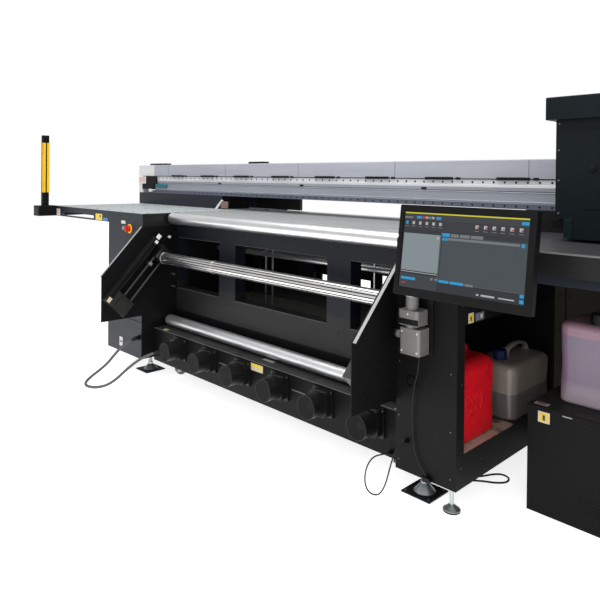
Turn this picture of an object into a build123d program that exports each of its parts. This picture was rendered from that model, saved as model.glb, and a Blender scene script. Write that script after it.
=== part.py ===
from build123d import *
import math
import os

# Wide format hybrid UV printer.  Millimetres, +X to the right, -Y to the front, +Z up.
# Origin on the floor, midway between the light curtains and between front and rear.

# --- driving dimensions -------------------------------------------------------------------
sheet = 2.0                     # cabinet sheet metal
table_top = 1060.0              # working height
table_half_depth = 640.0        # table front and rear edges
table_end = 2363.0              # outer ends of the two side tables
table_sheet = 3.0
apron_height = 80.0
slot_x = (-2190.0, -1700.0)     # hand slot in the left table's front apron
slot_z = (992.0, 1014.0)
plate_inner = 1010.0            # inner face of the side plates that carry the rollers
plate_thickness = 5.0

left_cabinet_end = 1470.0
left_cabinet_floor = 115.0
right_cabinet_end = 1295.0
right_cabinet_floor = 120.0
compartment_front = -590.0      # open compartment for the ink and waste cans
compartment_rear = 215.0
compartment_floor = 250.0
compartment_top = 742.0
compartment_inner = 1019.0

base_bottom = 120.0             # welded base of box tube
base_tube = 80.0
base_wall = 4.0
base_half_depth = 340.0
cross_x = 500.0                 # cross tubes of the base
rear_sill_depth = 140.0
sole_y = (-600.0, 600.0)        # sole tubes inside the cabinets, over the levelling feet
left_sole_width = 165.0
right_sole_width = 125.0

window_face = 380.0             # front face of the window frames, front and rear
window_depth = 80.0
window_wall = 3.0
window_top = (894.0, 980.0)
window_sill = (410.0, 557.0)
column_edges = (378.0, 538.0)   # inner and outer edge of a window column
end_post = 20.0
corner_post = 60.0

duct_front = -550.0             # beam that carries the fans
duct_rear = -380.0              # seats on the corner posts
duct_bottom = 100.0
duct_top = 310.0
duct_wall = 2.5

fan_count = 6
fan_pitch = 304.0
fan_first = -692.0
fan_height = 236.0
fan_flange = 132.0
fan_flange_thickness = 12.0
fan_body = 118.0
fan_body_depth = 34.0
fan_barrel_radius = 56.0
fan_wall = 3.0
fan_front = -670.0
fan_hub_radius = 20.0
fan_blade_radius = 49.0
fan_blades = 7
fan_pin_radius = 4.0
fan_fit = 0.05                  # running clearance on the fan pins

belt_half_width = 985.0
belt_thickness = 2.0
belt_loop_height = 76.0
belt_reach = 390.0              # outermost point of the belt, front and rear
belt_gap = 0.3                  # between the belt and what turns or lies inside it
journal_radius = 12.0
journal_fit = 0.05              # running clearance of journals in their plates

guide_roller_radius = 37.0
guide_roller_y = 435.0
guide_roller_z = 1023.0
tension_roller_radius = 34.5
tension_roller_y = 450.0
tension_roller_z = 352.0
roller_half = 982.0

shaft_y = 520.0                 # air shaft that carries the roll core
shaft_z = 770.0
shaft_radius = 37.0
shaft_half = 942.0
shaft_flutes = 16
flute_width = 3.4
flute_depth = 3.0
shaft_journal_radius = 15.0
ring_place = -393.0             # joint ring of the two lengths of the shaft
ring_width = 8.0

plate_front = 920.0             # outline of the side plates
plate_nose_top = 680.0
plate_nose_bottom = 400.0
plate_column_front = 630.0
plate_top = 975.0
plate_top_front = 640.0
plate_rear = 300.0
plate_flange = 22.0

guide_rods = (-20.0, 40.0)      # square to the slope, measured from the shaft
guide_head = (-66.0, -36.0)     # along the slope, measured from the shaft
guide_margin = 16.0             # head and blocks beyond the rods
guide_rod_radius = 9.0
guide_stand_off = 28.0          # rod centres to the side plate
channel_place = (96.0, 130.0)
channel_length = (-70.0, 440.0)
gearbox_place = (-43.0, 95.5)
gearbox_length = (340.0, 440.0)
gearbox_nose = 8.0              # raised cover on the gearbox
gearbox_margin = 12.0
guide_box_depth = 46.0
block_length = 60.0
block_fit = 0.05

gantry_end = 2415.0
gantry_front = 130.0
gantry_rear = 400.0
gantry_bottom = 1160.0
gantry_top = 1400.0
cover_bottom = 1305.0
rail_top = 1304.0
rail_bottom = 1246.0
low_rail_top = 1182.0
cap_width = 70.0
beam_inset = 15.0               # box section behind the rails
face_inset = 6.0                # plate between the rails
beam_wall = 8.0
cover_wall = 3.0
pedestal_inner = 1190.0
pedestal_wall = 4.0
rear_block_x = (-1450.0, -700.0)    # dark housing behind the belt
rear_block_y = (475.0, 500.0)
rear_block_height = 120.0

carriage_left = 1487.0
carriage_width = 750.0
carriage_front = -240.0
carriage_rear = 116.0
carriage_bottom = 1072.0
carriage_skirt = 1150.0
carriage_skirt_inset = 65.0
hood_bottom = 1540.0
hood_top = 1630.0
hood_overhang = 30.0
hood_lid = 6.0
hood_rim = 20.0                 # rim inside the carriage's cover
truck_gap = 0.3
seat_gap = 0.3                  # head plate to the shell that carries it

curtain_foot = (2353.0, 2463.0)
curtain_front = -780.0
curtain_top = 1620.0

monitor_width = 530.0
monitor_height = 334.0
monitor_depth = 30.0
monitor_tilt = 7.9
monitor_place = (1400.0, -793.0, 1037.0)
monitor_pin_back = 42.0
monitor_pin_radius = 5.0
pin_fit = 0.05
post_x = 1125.0
post_y = -692.0
post_radius = 25.0
post_top = 936.0
post_plate = ((1075.0, 1190.0), (614.0, 830.0), 6.0)    # x limits, z limits, thickness
post_foot = ((1085.0, 1178.0), (620.0, 722.0), -720.0)  # x limits, z limits, front
post_clamp = ((1080.0, 1172.0), (734.0, 792.0), -724.0)
shoulder_bottom = 850.0
knob_place = (1050.0, -700.0, 690.0)
knob_radius = 16.0
arm_bar = 16.0
arm_height = 48.0

switch_place = (-1178.0, 952.0)
switch_shaft_radius = 6.0
button_place = (-1263.0, 952.0)
button_radius = 5.0

foot_plate = 140.0
foot_places = ((-1127.0, 505.0), (1077.0, 520.0))
caster_x = 885.0
caster_y = (445.0, 430.0)
caster_radius = 38.0
caster_width = 25.0
caster_axle_height = 41.0
caster_trail = 26.0
caster_axle_radius = 5.0
caster_pin_radius = 7.0
caster_plate = (90.0, 70.0, 6.0)
kingpin_drop = 14.0

cooler_left = 1428.0
cooler_width = 600.0
cooler_front = -337.0
cooler_depth = 500.0
cooler_top = 420.0
cooler_lid = 18.0
lid_overlap = 4.0               # lid in front of the body
ink_front = 222.0
ink_end = 2300.0
ink_bottom = 60.0
ink_sole = (34.0, 60.0, 40.0)   # from the wall, width, height

red_can_place = ((1042.0, 1257.0), (-575.0, -270.0), 318.0)     # x, y, body height
clear_can_place = ((1072.0, 1287.0), (-165.0, 205.0), 240.0)
pink_can_place = ((1498.0, 1788.0), (-223.0, 17.0), 322.0)
can_side_radius = 34.0
can_top_radius = 22.0
handle_width = 28.0
handle_bar = 18.0
handle_leg = 22.0

power_cable_diameter = 17.0
thin_cable_diameter = 6.0
floor_cable_diameter = 8.0


# --- helpers ------------------------------------------------------------------------------
def block(x, y, z):
    """Box between three pairs of limits."""
    (x0, x1), (y0, y1), (z0, z1) = sorted(x), sorted(y), sorted(z)
    size = (x1 - x0, y1 - y0, z1 - z0)
    return Pos((x0 + x1) / 2, (y0 + y1) / 2, (z0 + z1) / 2) * Box(*size)


def rod_x(x, y, z, radius):
    """Cylinder along X between two x values."""
    return Pos(sum(x) / 2, y, z) * Rot(0, 90, 0) * Cylinder(radius, abs(x[1] - x[0]))


def rod_y(x, y, z, radius):
    """Cylinder along Y between two y values."""
    return Pos(x, sum(y) / 2, z) * Rot(90, 0, 0) * Cylinder(radius, abs(y[1] - y[0]))


def rod_z(x, y, z, radius):
    """Cylinder along Z between two z values."""
    return Pos(x, y, sum(z) / 2) * Cylinder(radius, abs(z[1] - z[0]))


def tube_x(x, y, z, wall):
    """Box tube that runs along X, open at its ends."""
    return block(x, y, z) - block(x, (min(y) + wall, max(y) - wall), (min(z) + wall, max(z) - wall))


def tube_y(x, y, z, wall):
    """Box tube that runs along Y, open at its ends."""
    return block(x, y, z) - block((min(x) + wall, max(x) - wall), y, (min(z) + wall, max(z) - wall))


def tube_z(x, y, z, wall):
    """Box tube that stands along Z, open at its ends."""
    return block(x, y, z) - block((min(x) + wall, max(x) - wall), (min(y) + wall, max(y) - wall), z)


def mirrored_x(part):
    return mirror(part, Plane.YZ)


def mirrored_y(part):
    return mirror(part, Plane.XZ)


def solids_of(things):
    found = []
    for thing in things:
        found.extend(thing.solids())
    return found


def save(name, *things):
    """Write one node's solids to its STEP file."""
    found = solids_of(things)
    export_step(found[0] if len(found) == 1 else Compound(found), f"parts/{name}.step")


# --- base, windows and plates -------------------------------------------------------------
def base_frame():
    z = (base_bottom, base_bottom + base_tube)
    rail_y = (-base_half_depth, -base_half_depth + base_tube)
    front_rail = tube_x((-plate_inner, plate_inner), rail_y, z, base_wall)
    cross = [tube_y((x - base_tube / 2, x + base_tube / 2), (rail_y[1], -rail_y[1]), z, base_wall)
             for x in (-cross_x, cross_x)]
    left_sole = tube_y((-sole_inner() - left_sole_width, -sole_inner()), sole_y, z, base_wall)
    right_sole = tube_y((sole_inner(), sole_inner() + right_sole_width), sole_y, z, base_wall)
    rear_y = (base_half_depth, base_half_depth + rear_sill_depth)
    rear_sill = tube_x((-plate_inner, plate_inner), rear_y, z, base_wall)
    corner = block((plate_inner - corner_post, plate_inner), (-window_face, -window_face + window_depth),
                   (z[1], window_sill[0]))
    corners = [corner, mirrored_x(corner), mirrored_y(corner), mirrored_x(mirrored_y(corner))]
    return [front_rail, mirrored_y(front_rail), *cross, left_sole, right_sole, rear_sill, *corners,
            *caster_mounts()]


def sole_inner():
    """Inner x of the sole tubes, which stand inside the two cabinets."""
    return plate_inner + plate_thickness + sheet


def caster_mounts():
    """Fixed top plates of the casters, with the kingpins that the forks turn on."""
    mounts = []
    width, depth, thickness = caster_plate
    for x, y, underside in caster_places():
        face = underside - thickness
        plate = block((x - width / 2, x + width / 2), (y - depth / 2, y + depth / 2), (face, underside))
        mounts.append(plate + rod_z(x, y, (face - kingpin_drop, face), caster_pin_radius))
    return mounts


def caster_places():
    front, rear = -caster_y[0], caster_y[1]
    return [(-caster_x, front, duct_bottom), (caster_x, front, duct_bottom),
            (-caster_x, rear, duct_bottom), (caster_x, rear, duct_bottom)]


def rear_caster_pads():
    """Spacers that bring the rear caster plates down to the height of the front ones."""
    width, depth, _ = caster_plate
    y = (caster_y[1] - depth / 2, caster_y[1] + depth / 2)
    z = (duct_bottom, base_bottom)
    return [block((x - width / 2, x + width / 2), y, z) for x in (-caster_x, caster_x)]


def window_frame():
    """Front frame with three windows: beam, sill, two columns and two end posts."""
    y = (-window_face, -window_face + window_depth)
    beam = tube_x((-plate_inner, plate_inner), y, window_top, window_wall)
    sill = tube_x((-plate_inner, plate_inner), y, window_sill, window_wall)
    column = tube_z(column_edges, y, (window_sill[1], window_top[0]), window_wall)
    end = tube_z((plate_inner - end_post, plate_inner), y, (window_sill[1], window_top[0]), window_wall)
    return [beam, sill, column, mirrored_x(column), end, mirrored_x(end)]


def side_plate():
    """Front right plate, with its folded flange along the sloping edge and the nose."""
    outline = [(-plate_front, plate_nose_top), (-plate_front, plate_nose_bottom),
               (-plate_column_front, plate_nose_bottom), (-plate_column_front, base_bottom),
               (-plate_rear, base_bottom), (-plate_rear, plate_top), (-plate_top_front, plate_top)]
    face = Plane.YZ.offset(plate_inner) * make_face(Polyline(*outline, close=True))
    plate = extrude(face, plate_thickness, dir=(1, 0, 0))
    nose = (-plate_front, plate_nose_top)
    top = (-plate_top_front, plate_top)
    slope = math.atan2(top[1] - nose[1], top[0] - nose[0])
    inward = (math.sin(slope) * 4.0, -math.cos(slope) * 4.0)
    lip = [nose, top, (top[0] + inward[0], top[1] + inward[1]), (nose[0] + inward[0], nose[1] + inward[1])]
    lip_face = Plane.YZ.offset(plate_inner + plate_thickness) * make_face(Polyline(*lip, close=True))
    lip_solid = extrude(lip_face, plate_flange - plate_thickness, dir=(1, 0, 0))
    reach = (plate_inner + plate_thickness, plate_inner + plate_flange)
    lip_solid -= block(reach, (-table_half_depth, -table_half_depth + 10), (plate_nose_top, plate_top + 10))
    plate += lip_solid
    plate -= rod_x((plate_inner - 1, plate_inner + plate_thickness + 1), -tension_roller_y,
                   tension_roller_z, journal_radius + journal_fit)
    return plate


# --- cabinets and tables ------------------------------------------------------------------
def open_box(x, y, z, wall=sheet):
    """Panels of a case that is open underneath: top, front, rear and two ends."""
    within_y = (y[0] + wall, y[1] - wall)
    under_top = (z[0], z[1] - wall)
    top = block(x, y, (under_top[1], z[1]))
    front = block(x, (y[0], within_y[0]), under_top)
    rear = block(x, (within_y[1], y[1]), under_top)
    left = block((x[0], x[0] + wall), within_y, under_top)
    right = block((x[1] - wall, x[1]), within_y, under_top)
    return [top, front, rear, left, right]


def left_cabinet():
    x = (-left_cabinet_end, -plate_inner - plate_thickness)
    y = (-table_half_depth, table_half_depth)
    z = (left_cabinet_floor, table_top - table_sheet)
    top, front, *others = open_box(x, y, z)
    for place, radius in ((switch_place, switch_shaft_radius), (button_place, button_radius)):
        front -= rod_y(place[0], (y[0] - 1, y[0] + sheet + 1), place[1], radius + pin_fit)
    return [top, front, *others]


def right_cabinet():
    """Sheet panels round an open compartment on the right-hand side."""
    x = (plate_inner + plate_thickness, right_cabinet_end)
    y = (-table_half_depth, table_half_depth)
    z = (right_cabinet_floor, table_top - table_sheet)
    within_x = (x[0] + sheet, x[1] - sheet)
    within_y = (y[0] + sheet, y[1] - sheet)
    under_top = (z[0], z[1] - sheet)
    side = (x[1] - sheet, x[1])
    shelf_x = (compartment_inner, x[1] - sheet)
    front = block(x, (y[0], within_y[0]), z)
    rear = block(x, (within_y[1], y[1]), z)
    top = block(x, within_y, (z[1] - sheet, z[1]))
    inner_wall = block((x[0], within_x[0]), within_y, under_top)
    liner = block((within_x[0], compartment_inner), (compartment_front, compartment_rear),
                  (compartment_floor - sheet, compartment_top + sheet))
    above = block(side, (compartment_front, compartment_rear), (compartment_top, under_top[1]))
    below = block(side, (compartment_front, compartment_rear), (z[0], compartment_floor))
    front_strip = block(side, (within_y[0], compartment_front), under_top)
    rear_strip = block(side, (compartment_rear, within_y[1]), under_top)
    shelf_y = (compartment_front, compartment_rear)
    floor = block(shelf_x, shelf_y, (compartment_floor - sheet, compartment_floor))
    ceiling = block(shelf_x, shelf_y, (compartment_top, compartment_top + sheet))
    ends = [block((within_x[0], side[0]), (place, place + direction * sheet),
                  (compartment_floor - sheet, compartment_top + sheet))
            for place, direction in ((compartment_front, -1), (compartment_rear, 1))]
    return [front, rear, top, inner_wall, liner, above, below, front_strip, rear_strip, floor, ceiling, *ends]


def side_table(apron_start, slot=None):
    """Left table as panels: top, front, rear and end aprons, and the inner panel for the rollers."""
    y = (-table_half_depth, table_half_depth)
    z = (table_top - apron_height, table_top - table_sheet)
    apron_x = (-table_end, -apron_start)
    top = block((-table_end, -plate_inner), y, (z[1], table_top))
    front_y = (y[0], y[0] + table_sheet)
    rear = block(apron_x, (y[1] - table_sheet, y[1]), z)
    if slot is None:
        front = [block(apron_x, front_y, z)]
    else:
        slot_x, slot_z = slot
        front = [block((apron_x[0], slot_x[0]), front_y, z), block((slot_x[1], apron_x[1]), front_y, z),
                 block(slot_x, front_y, (z[0], slot_z[0])), block(slot_x, front_y, (slot_z[1], z[1]))]
    end = block((-table_end, -table_end + table_sheet), (front_y[1], y[1] - table_sheet), z)
    inner = block((-plate_inner - plate_thickness, -plate_inner), y, (plate_top, z[1]))
    reach = (-plate_inner - plate_thickness - 1, -plate_inner + 1)
    holes = ((-guide_roller_y, guide_roller_z), (guide_roller_y, guide_roller_z),
             (drive_roller_y(), belt_centre()))
    for hole_y, hole_z in holes:
        inner -= rod_x(reach, hole_y, hole_z, journal_radius + journal_fit)
    return [top, *front, rear, end, inner]


def left_table():
    return [*side_table(left_cabinet_end, (slot_x, slot_z)), *table_bearers(left_cabinet_end, -1)]


def right_table():
    return [*[mirrored_x(panel) for panel in side_table(right_cabinet_end)],
            *table_bearers(right_cabinet_end, 1)]


def table_bearers(start, side):
    """Box tubes that carry the overhanging end of a table."""
    z = (table_top - table_sheet - 40.0, table_top - table_sheet)
    x = (side * start, side * (table_end - table_sheet))
    return [tube_x(x, (y - 20, y + 20), z, 2.0) for y in (-420.0, -120.0)]


def cooler_cabinet():
    """Ink cooler that stands by itself under the right table."""
    x = (cooler_left, cooler_left + cooler_width)
    y = (cooler_front, cooler_front + cooler_depth)
    body = open_box(x, (y[0] + lid_overlap, y[1]), (0, cooler_top - cooler_lid))
    lid = block(x, y, (cooler_top - cooler_lid, cooler_top))
    lid = fillet(lid.edges().filter_by(Axis.X).group_by(Axis.Z)[-1], 5.0)
    return [*body, lid]


def ink_cabinet():
    """Supply cabinet that carries the right table and the parked carriage."""
    x = (right_cabinet_end, ink_end)
    y = (ink_front, table_half_depth - table_sheet)
    z = (ink_bottom, table_top - table_sheet)
    from_wall, width, height = ink_sole
    places = (y[0] + from_wall, y[1] - from_wall)
    soles = [block((x[0] + sheet, x[1] - sheet), (place - width / 2, place + width / 2),
                   (ink_bottom, ink_bottom + height)) for place in places]
    feet = [rod_z(foot_x, place, (0, ink_bottom), 22.0)
            for foot_x in (x[0] + 60, x[1] - 60) for place in places]
    return [*open_box(x, y, z), *soles, *feet]


def levelling_feet():
    """Zinc feet on square pads, with the black foot of the right cabinet."""
    feet = []
    for x, y in foot_places:
        for side in (-1, 1):
            pad = Pos(x, side * y, 3.0) * Box(foot_plate, foot_plate, 6.0)
            cone = Pos(x, side * y, 6.0 + 17.0) * Cone(46.0, 15.0, 34.0)
            nut = Pos(x, side * y, 40.0) * extrude(RegularPolygon(17.0, 6), 12.0)
            stem = rod_z(x, side * y, (52.0, base_bottom), 10.0)
            feet.append(pad + cone + nut + stem)
    x, y = right_cabinet_end - 62.0, -565.0
    small = Pos(x, y, 4.0) * Cylinder(34.0, 8.0) + Pos(x, y, 17.0) * Cone(34.0, 10.0, 18.0)
    small += rod_z(x, y, (26.0, base_bottom), 8.0)
    bar = block((sole_inner() + right_sole_width, right_cabinet_end - sheet), (y - 20, y + 20),
                (base_bottom, base_bottom + 30.0))
    return [*feet, small, bar]


# --- belt, rollers and roll shafts --------------------------------------------------------
def belt_centre():
    return table_top - belt_loop_height / 2


def drive_roller_y():
    return belt_reach - belt_loop_height / 2


def transport_belt():
    loop = SlotCenterToCenter(2 * drive_roller_y(), belt_loop_height)
    loop -= SlotCenterToCenter(2 * drive_roller_y(), belt_loop_height - 2 * belt_thickness)
    face = Plane.YZ.offset(-belt_half_width) * Pos(0, belt_centre()) * loop
    return extrude(face, 2 * belt_half_width, dir=(1, 0, 0))


def belt_inner_radius():
    return belt_loop_height / 2 - belt_thickness - belt_gap


def vacuum_bed():
    """Suction box inside the belt, with the round nose that the belt turns on."""
    radius = belt_inner_radius()
    z = (belt_centre() - radius, belt_centre() + radius)
    rear = drive_roller_y() - radius - 12.0
    nose = rod_x((-plate_inner, plate_inner), -drive_roller_y(), belt_centre(), radius)
    bed = block((-plate_inner, plate_inner), (-drive_roller_y(), rear), z) + nose
    for bay in range(5):
        width = 2 * (plate_inner - 20.0) / 5
        x0 = -plate_inner + 20.0 + bay * width
        bed -= block((x0 + 6, x0 + width - 6), (-drive_roller_y() + 10, rear - 4), (z[0] - 1, z[1] - 4))
    return bed


def plain_roller(y, z, radius, reach):
    """Roller with a journal at each end."""
    body = rod_x((-roller_half, roller_half), y, z, radius)
    body = fillet(body.edges().filter_by(GeomType.CIRCLE), 2.0)
    for side in (-1, 1):
        body += rod_x((side * roller_half, side * reach), y, z, journal_radius)
    return body


def drive_roller():
    return plain_roller(drive_roller_y(), belt_centre(), belt_inner_radius(), plate_inner + plate_thickness)


def guide_roller():
    return plain_roller(-guide_roller_y, guide_roller_z, guide_roller_radius, plate_inner + plate_thickness)


def tension_roller():
    return plain_roller(-tension_roller_y, tension_roller_z, tension_roller_radius,
                        plate_inner + plate_thickness)


def air_shaft():
    """Fluted shaft with a joint ring, and a journal at each end."""
    circle = Circle(shaft_radius)
    for index in range(shaft_flutes):
        turn = 360.0 / shaft_flutes * index
        circle -= Rot(0, 0, turn) * Pos(shaft_radius, 0) * Rectangle(2 * flute_depth, flute_width)
    face = Plane.YZ.offset(-shaft_half) * Pos(-shaft_y, shaft_z) * circle
    shaft = extrude(face, 2 * shaft_half, dir=(1, 0, 0))
    shaft += rod_x((ring_place - ring_width / 2, ring_place + ring_width / 2), -shaft_y, shaft_z,
                   shaft_radius + 1.5)
    for side in (-1, 1):
        shaft += rod_x((side * shaft_half, side * shaft_seat()), -shaft_y, shaft_z, shaft_journal_radius)
    return shaft


# --- sloping guides -----------------------------------------------------------------------
def slope_angle():
    """Slope of the plate's edge, which the guides follow, in degrees."""
    return math.degrees(math.atan2(plate_top - plate_nose_top, plate_front - plate_top_front))


def on_slope(along, across, x):
    """Place on the slope: local -Y runs down the slope and local Z is square to it."""
    slope = math.radians(slope_angle())
    y = -shaft_y - along * math.cos(slope) - across * math.sin(slope)
    z = shaft_z - along * math.sin(slope) + across * math.cos(slope)
    return Pos(x, y, z) * Rot(slope_angle(), 0, 0)


def slope_box(along, across, x):
    """Box whose length runs down the slope."""
    middle = on_slope(sum(along) / 2, sum(across) / 2, sum(x) / 2)
    size = (abs(x[1] - x[0]), abs(along[1] - along[0]), abs(across[1] - across[0]))
    return middle * Box(*size)


def slope_rod(along, across, x, radius):
    """Rod that runs down the slope."""
    middle = on_slope(sum(along) / 2, across, x)
    return middle * Rot(90, 0, 0) * Cylinder(radius, along[1] - along[0])


def guide_x():
    return plate_inner - guide_stand_off


def block_limits():
    """Inner and outer x of a bearing block."""
    return (plate_inner - 62.0, plate_inner - 4.0)


def shaft_seat():
    """Outer end of the shaft's journal, short of the guide rods."""
    return guide_x() - guide_rod_radius - 4.0


def shaft_guide():
    """Front right guide: two rods, the channel above them, and the gearbox at the foot."""
    box_x = (plate_inner - guide_box_depth, plate_inner)
    rod_length = (guide_head[1], gearbox_length[0])
    rods = [slope_rod(rod_length, across, guide_x(), guide_rod_radius) for across in guide_rods]
    channel = slope_box(channel_length, channel_place, box_x)
    gearbox = slope_box(gearbox_length, gearbox_place, box_x)
    gearbox += slope_box((gearbox_length[0] + gearbox_margin, gearbox_length[1] - gearbox_margin),
                         (gearbox_place[0] + gearbox_margin, 60.0), (box_x[0] - gearbox_nose, box_x[0]))
    head = slope_box(guide_head, (guide_rods[0] - guide_margin, guide_rods[1] + guide_margin), box_x)
    return [*rods, channel, gearbox, head]


def bearing_block():
    """Front right block that slides on the rods and carries one end of the air shaft."""
    middle = sum(guide_rods) / 2
    half = (guide_rods[1] - guide_rods[0]) / 2 + guide_margin
    body = slope_box((-block_length / 2, block_length / 2), (middle - half, middle + half), block_limits())
    for across in guide_rods:
        body -= slope_rod((-block_length, block_length), across, guide_x(), guide_rod_radius + block_fit)
    body -= rod_x((block_limits()[0] - 1, shaft_seat() + 1.0), -shaft_y, shaft_z,
                  shaft_journal_radius + journal_fit)
    return body


# --- fans ---------------------------------------------------------------------------------
def fan_places():
    return [fan_first + fan_pitch * index for index in range(fan_count)]


def fan_duct():
    """Hollow beam of four plates, with a hole in the front one for each fan."""
    x = (-plate_inner, plate_inner)
    y, z = (duct_front, duct_rear), (duct_bottom, duct_top)
    within_y = (y[0] + duct_wall, y[1] - duct_wall)
    front = block(x, (y[0], within_y[0]), z)
    for place in fan_places():
        front -= rod_y(place, (y[0] - 1, within_y[0] + 1), fan_height, fan_barrel_radius - fan_wall)
    rear = block(x, (within_y[1], y[1]), z)
    top = block(x, within_y, (z[1] - duct_wall, z[1]))
    bottom = block(x, within_y, (z[0], z[0] + duct_wall))
    return [front, rear, top, bottom]


def fan_housing(x):
    """Square flange, square body, round barrel, and the spider that holds the motor pin."""
    flange_y = (duct_front - fan_flange_thickness, duct_front)
    body_y = (flange_y[0] - fan_body_depth, flange_y[0])
    half = fan_flange / 2
    flange = block((x - half, x + half), flange_y, (fan_height - half, fan_height + half))
    flange = fillet(flange.edges().filter_by(Axis.Y), 8.0)
    half = fan_body / 2
    body = block((x - half, x + half), body_y, (fan_height - half, fan_height + half))
    body = fillet(body.edges().filter_by(Axis.Y), 26.0)
    barrel = rod_y(x, (fan_front, body_y[0]), fan_height, fan_barrel_radius)
    housing = flange + body + barrel
    housing -= rod_y(x, (fan_front - 1, duct_front + 1), fan_height, fan_barrel_radius - fan_wall)
    reach = fan_barrel_radius - fan_wall + 1
    spider_y = (duct_front - 12.0, duct_front - 6.0)
    housing += block((x - reach, x + reach), spider_y, (fan_height - 4, fan_height + 4))
    housing += block((x - 4, x + 4), spider_y, (fan_height - reach, fan_height + reach))
    housing += rod_y(x, (duct_front - 30.0, duct_front - 2.0), fan_height, fan_hub_radius)
    housing += rod_y(x, (fan_front + 20.0, duct_front - 30.0), fan_height, fan_pin_radius)
    return housing


def fan_rotor(x):
    """Hub with flat blades, turning on the housing's pin."""
    y = (fan_front + 24.0, duct_front - 31.0)
    rotor = rod_y(x, y, fan_height, fan_hub_radius)
    blade_length = fan_blade_radius - fan_hub_radius + 4.0
    middle = fan_hub_radius - 4.0 + blade_length / 2
    for index in range(fan_blades):
        blade = Pos(middle, 0, 0) * Rot(40, 0, 0) * Box(blade_length, 30.0, 2.5)
        rotor += Pos(x, sum(y) / 2, fan_height) * Rot(0, 360.0 / fan_blades * index, 0) * blade
    return rotor - rod_y(x, (y[0] - 1, y[1] + 1), fan_height, fan_pin_radius + fan_fit)


# --- gantry and carriage ------------------------------------------------------------------
def gantry_beam():
    end = gantry_end - cap_width
    core_y = (gantry_front + beam_inset, gantry_rear - beam_inset)
    core = tube_x((-end, end), core_y, (gantry_bottom, cover_bottom), beam_wall)
    plate = block((-end, end), (gantry_front + face_inset, core_y[0]), (low_rail_top + 2, rail_bottom - 2))
    return core + plate


def gantry_cover():
    end = gantry_end - cap_width
    cover = block((-end, end), (gantry_front, gantry_rear), (cover_bottom, gantry_top))
    cover = fillet(cover.edges().filter_by(Axis.X).group_by(Axis.Z)[-1], 6.0)
    cover -= block((-end - 1, end + 1), (gantry_front + cover_wall, gantry_rear - cover_wall),
                   (cover_bottom - 1, gantry_top - cover_wall))
    cap = block((end, gantry_end), (gantry_front, gantry_rear), (gantry_bottom, gantry_top))
    cap = fillet(cap.edges().filter_by(Axis.X).group_by(Axis.Z)[-1], 6.0)
    return [cover, cap, mirrored_x(cap)]


def gantry_rails():
    end = gantry_end - cap_width - 40.0
    y = (gantry_front + cover_wall, gantry_front + beam_inset)
    upper = block((-end, end), y, (rail_bottom, rail_top))
    lower = block((-end, end), y, (gantry_bottom, low_rail_top))
    return [upper, lower]


def gantry_pedestals():
    """Hollow walls that carry the beam on the two side tables, and the block behind the belt."""
    z = (table_top, gantry_bottom)
    y = (gantry_front + pedestal_wall, gantry_rear - pedestal_wall)
    left = open_box((-gantry_end, -pedestal_inner), y, z, pedestal_wall)
    rear_block = block(rear_block_x, rear_block_y, (table_top, table_top + rear_block_height))
    return [*left, *[mirrored_x(panel) for panel in left], rear_block]


def carriage_shell():
    """Panels of the carriage's cover, stepped in at the lower left corner and open underneath."""
    right = carriage_left + carriage_width
    step = carriage_left + carriage_skirt_inset
    front, rear = carriage_front, carriage_rear
    inside_y = (front + sheet, rear - sheet)
    upper = (carriage_skirt, hood_bottom)
    lower = (carriage_bottom, carriage_skirt)
    panels = []
    for face in ((front, inside_y[0]), (inside_y[1], rear)):
        panels += [block((carriage_left, right), face, upper), block((step, right), face, lower)]
    panels.append(block((carriage_left, carriage_left + sheet), inside_y, upper))
    ledge_z = (carriage_skirt, carriage_skirt + sheet)
    panels.append(block((carriage_left + sheet, step + sheet), inside_y, ledge_z))
    panels.append(block((step, step + sheet), inside_y, lower))
    panels.append(block((right - sheet, right), inside_y, (carriage_bottom, hood_bottom)))
    return panels


def carriage_hood():
    """Overhanging top cover: lid, four walls, and the rim that rests on the carriage's cover."""
    right = carriage_left + carriage_width
    x = (carriage_left - hood_overhang, right + hood_overhang)
    y = (carriage_front - hood_overhang, carriage_rear + hood_overhang)
    within_x = (x[0] + sheet, x[1] - sheet)
    within_y = (y[0] + sheet, y[1] - sheet)
    walls_z = (hood_bottom, hood_top - hood_lid)
    lid = block(x, y, (walls_z[1], hood_top))
    lid = fillet(lid.edges().group_by(Axis.Z)[-1], hood_lid - 1)
    walls = [block(x, (y[0], within_y[0]), walls_z), block(x, (within_y[1], y[1]), walls_z),
             block((x[0], within_x[0]), within_y, walls_z), block((within_x[1], x[1]), within_y, walls_z)]
    hole_x = (carriage_left + hood_rim, right - hood_rim)
    hole_y = (carriage_front + hood_rim, carriage_rear - hood_rim)
    rim_z = (hood_bottom, hood_bottom + sheet)
    rim = [block((within_x[0], hole_x[0]), within_y, rim_z), block((hole_x[1], within_x[1]), within_y, rim_z),
           block(hole_x, (within_y[0], hole_y[0]), rim_z), block(hole_x, (hole_y[1], within_y[1]), rim_z)]
    return [lid, *walls, *rim]


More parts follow.
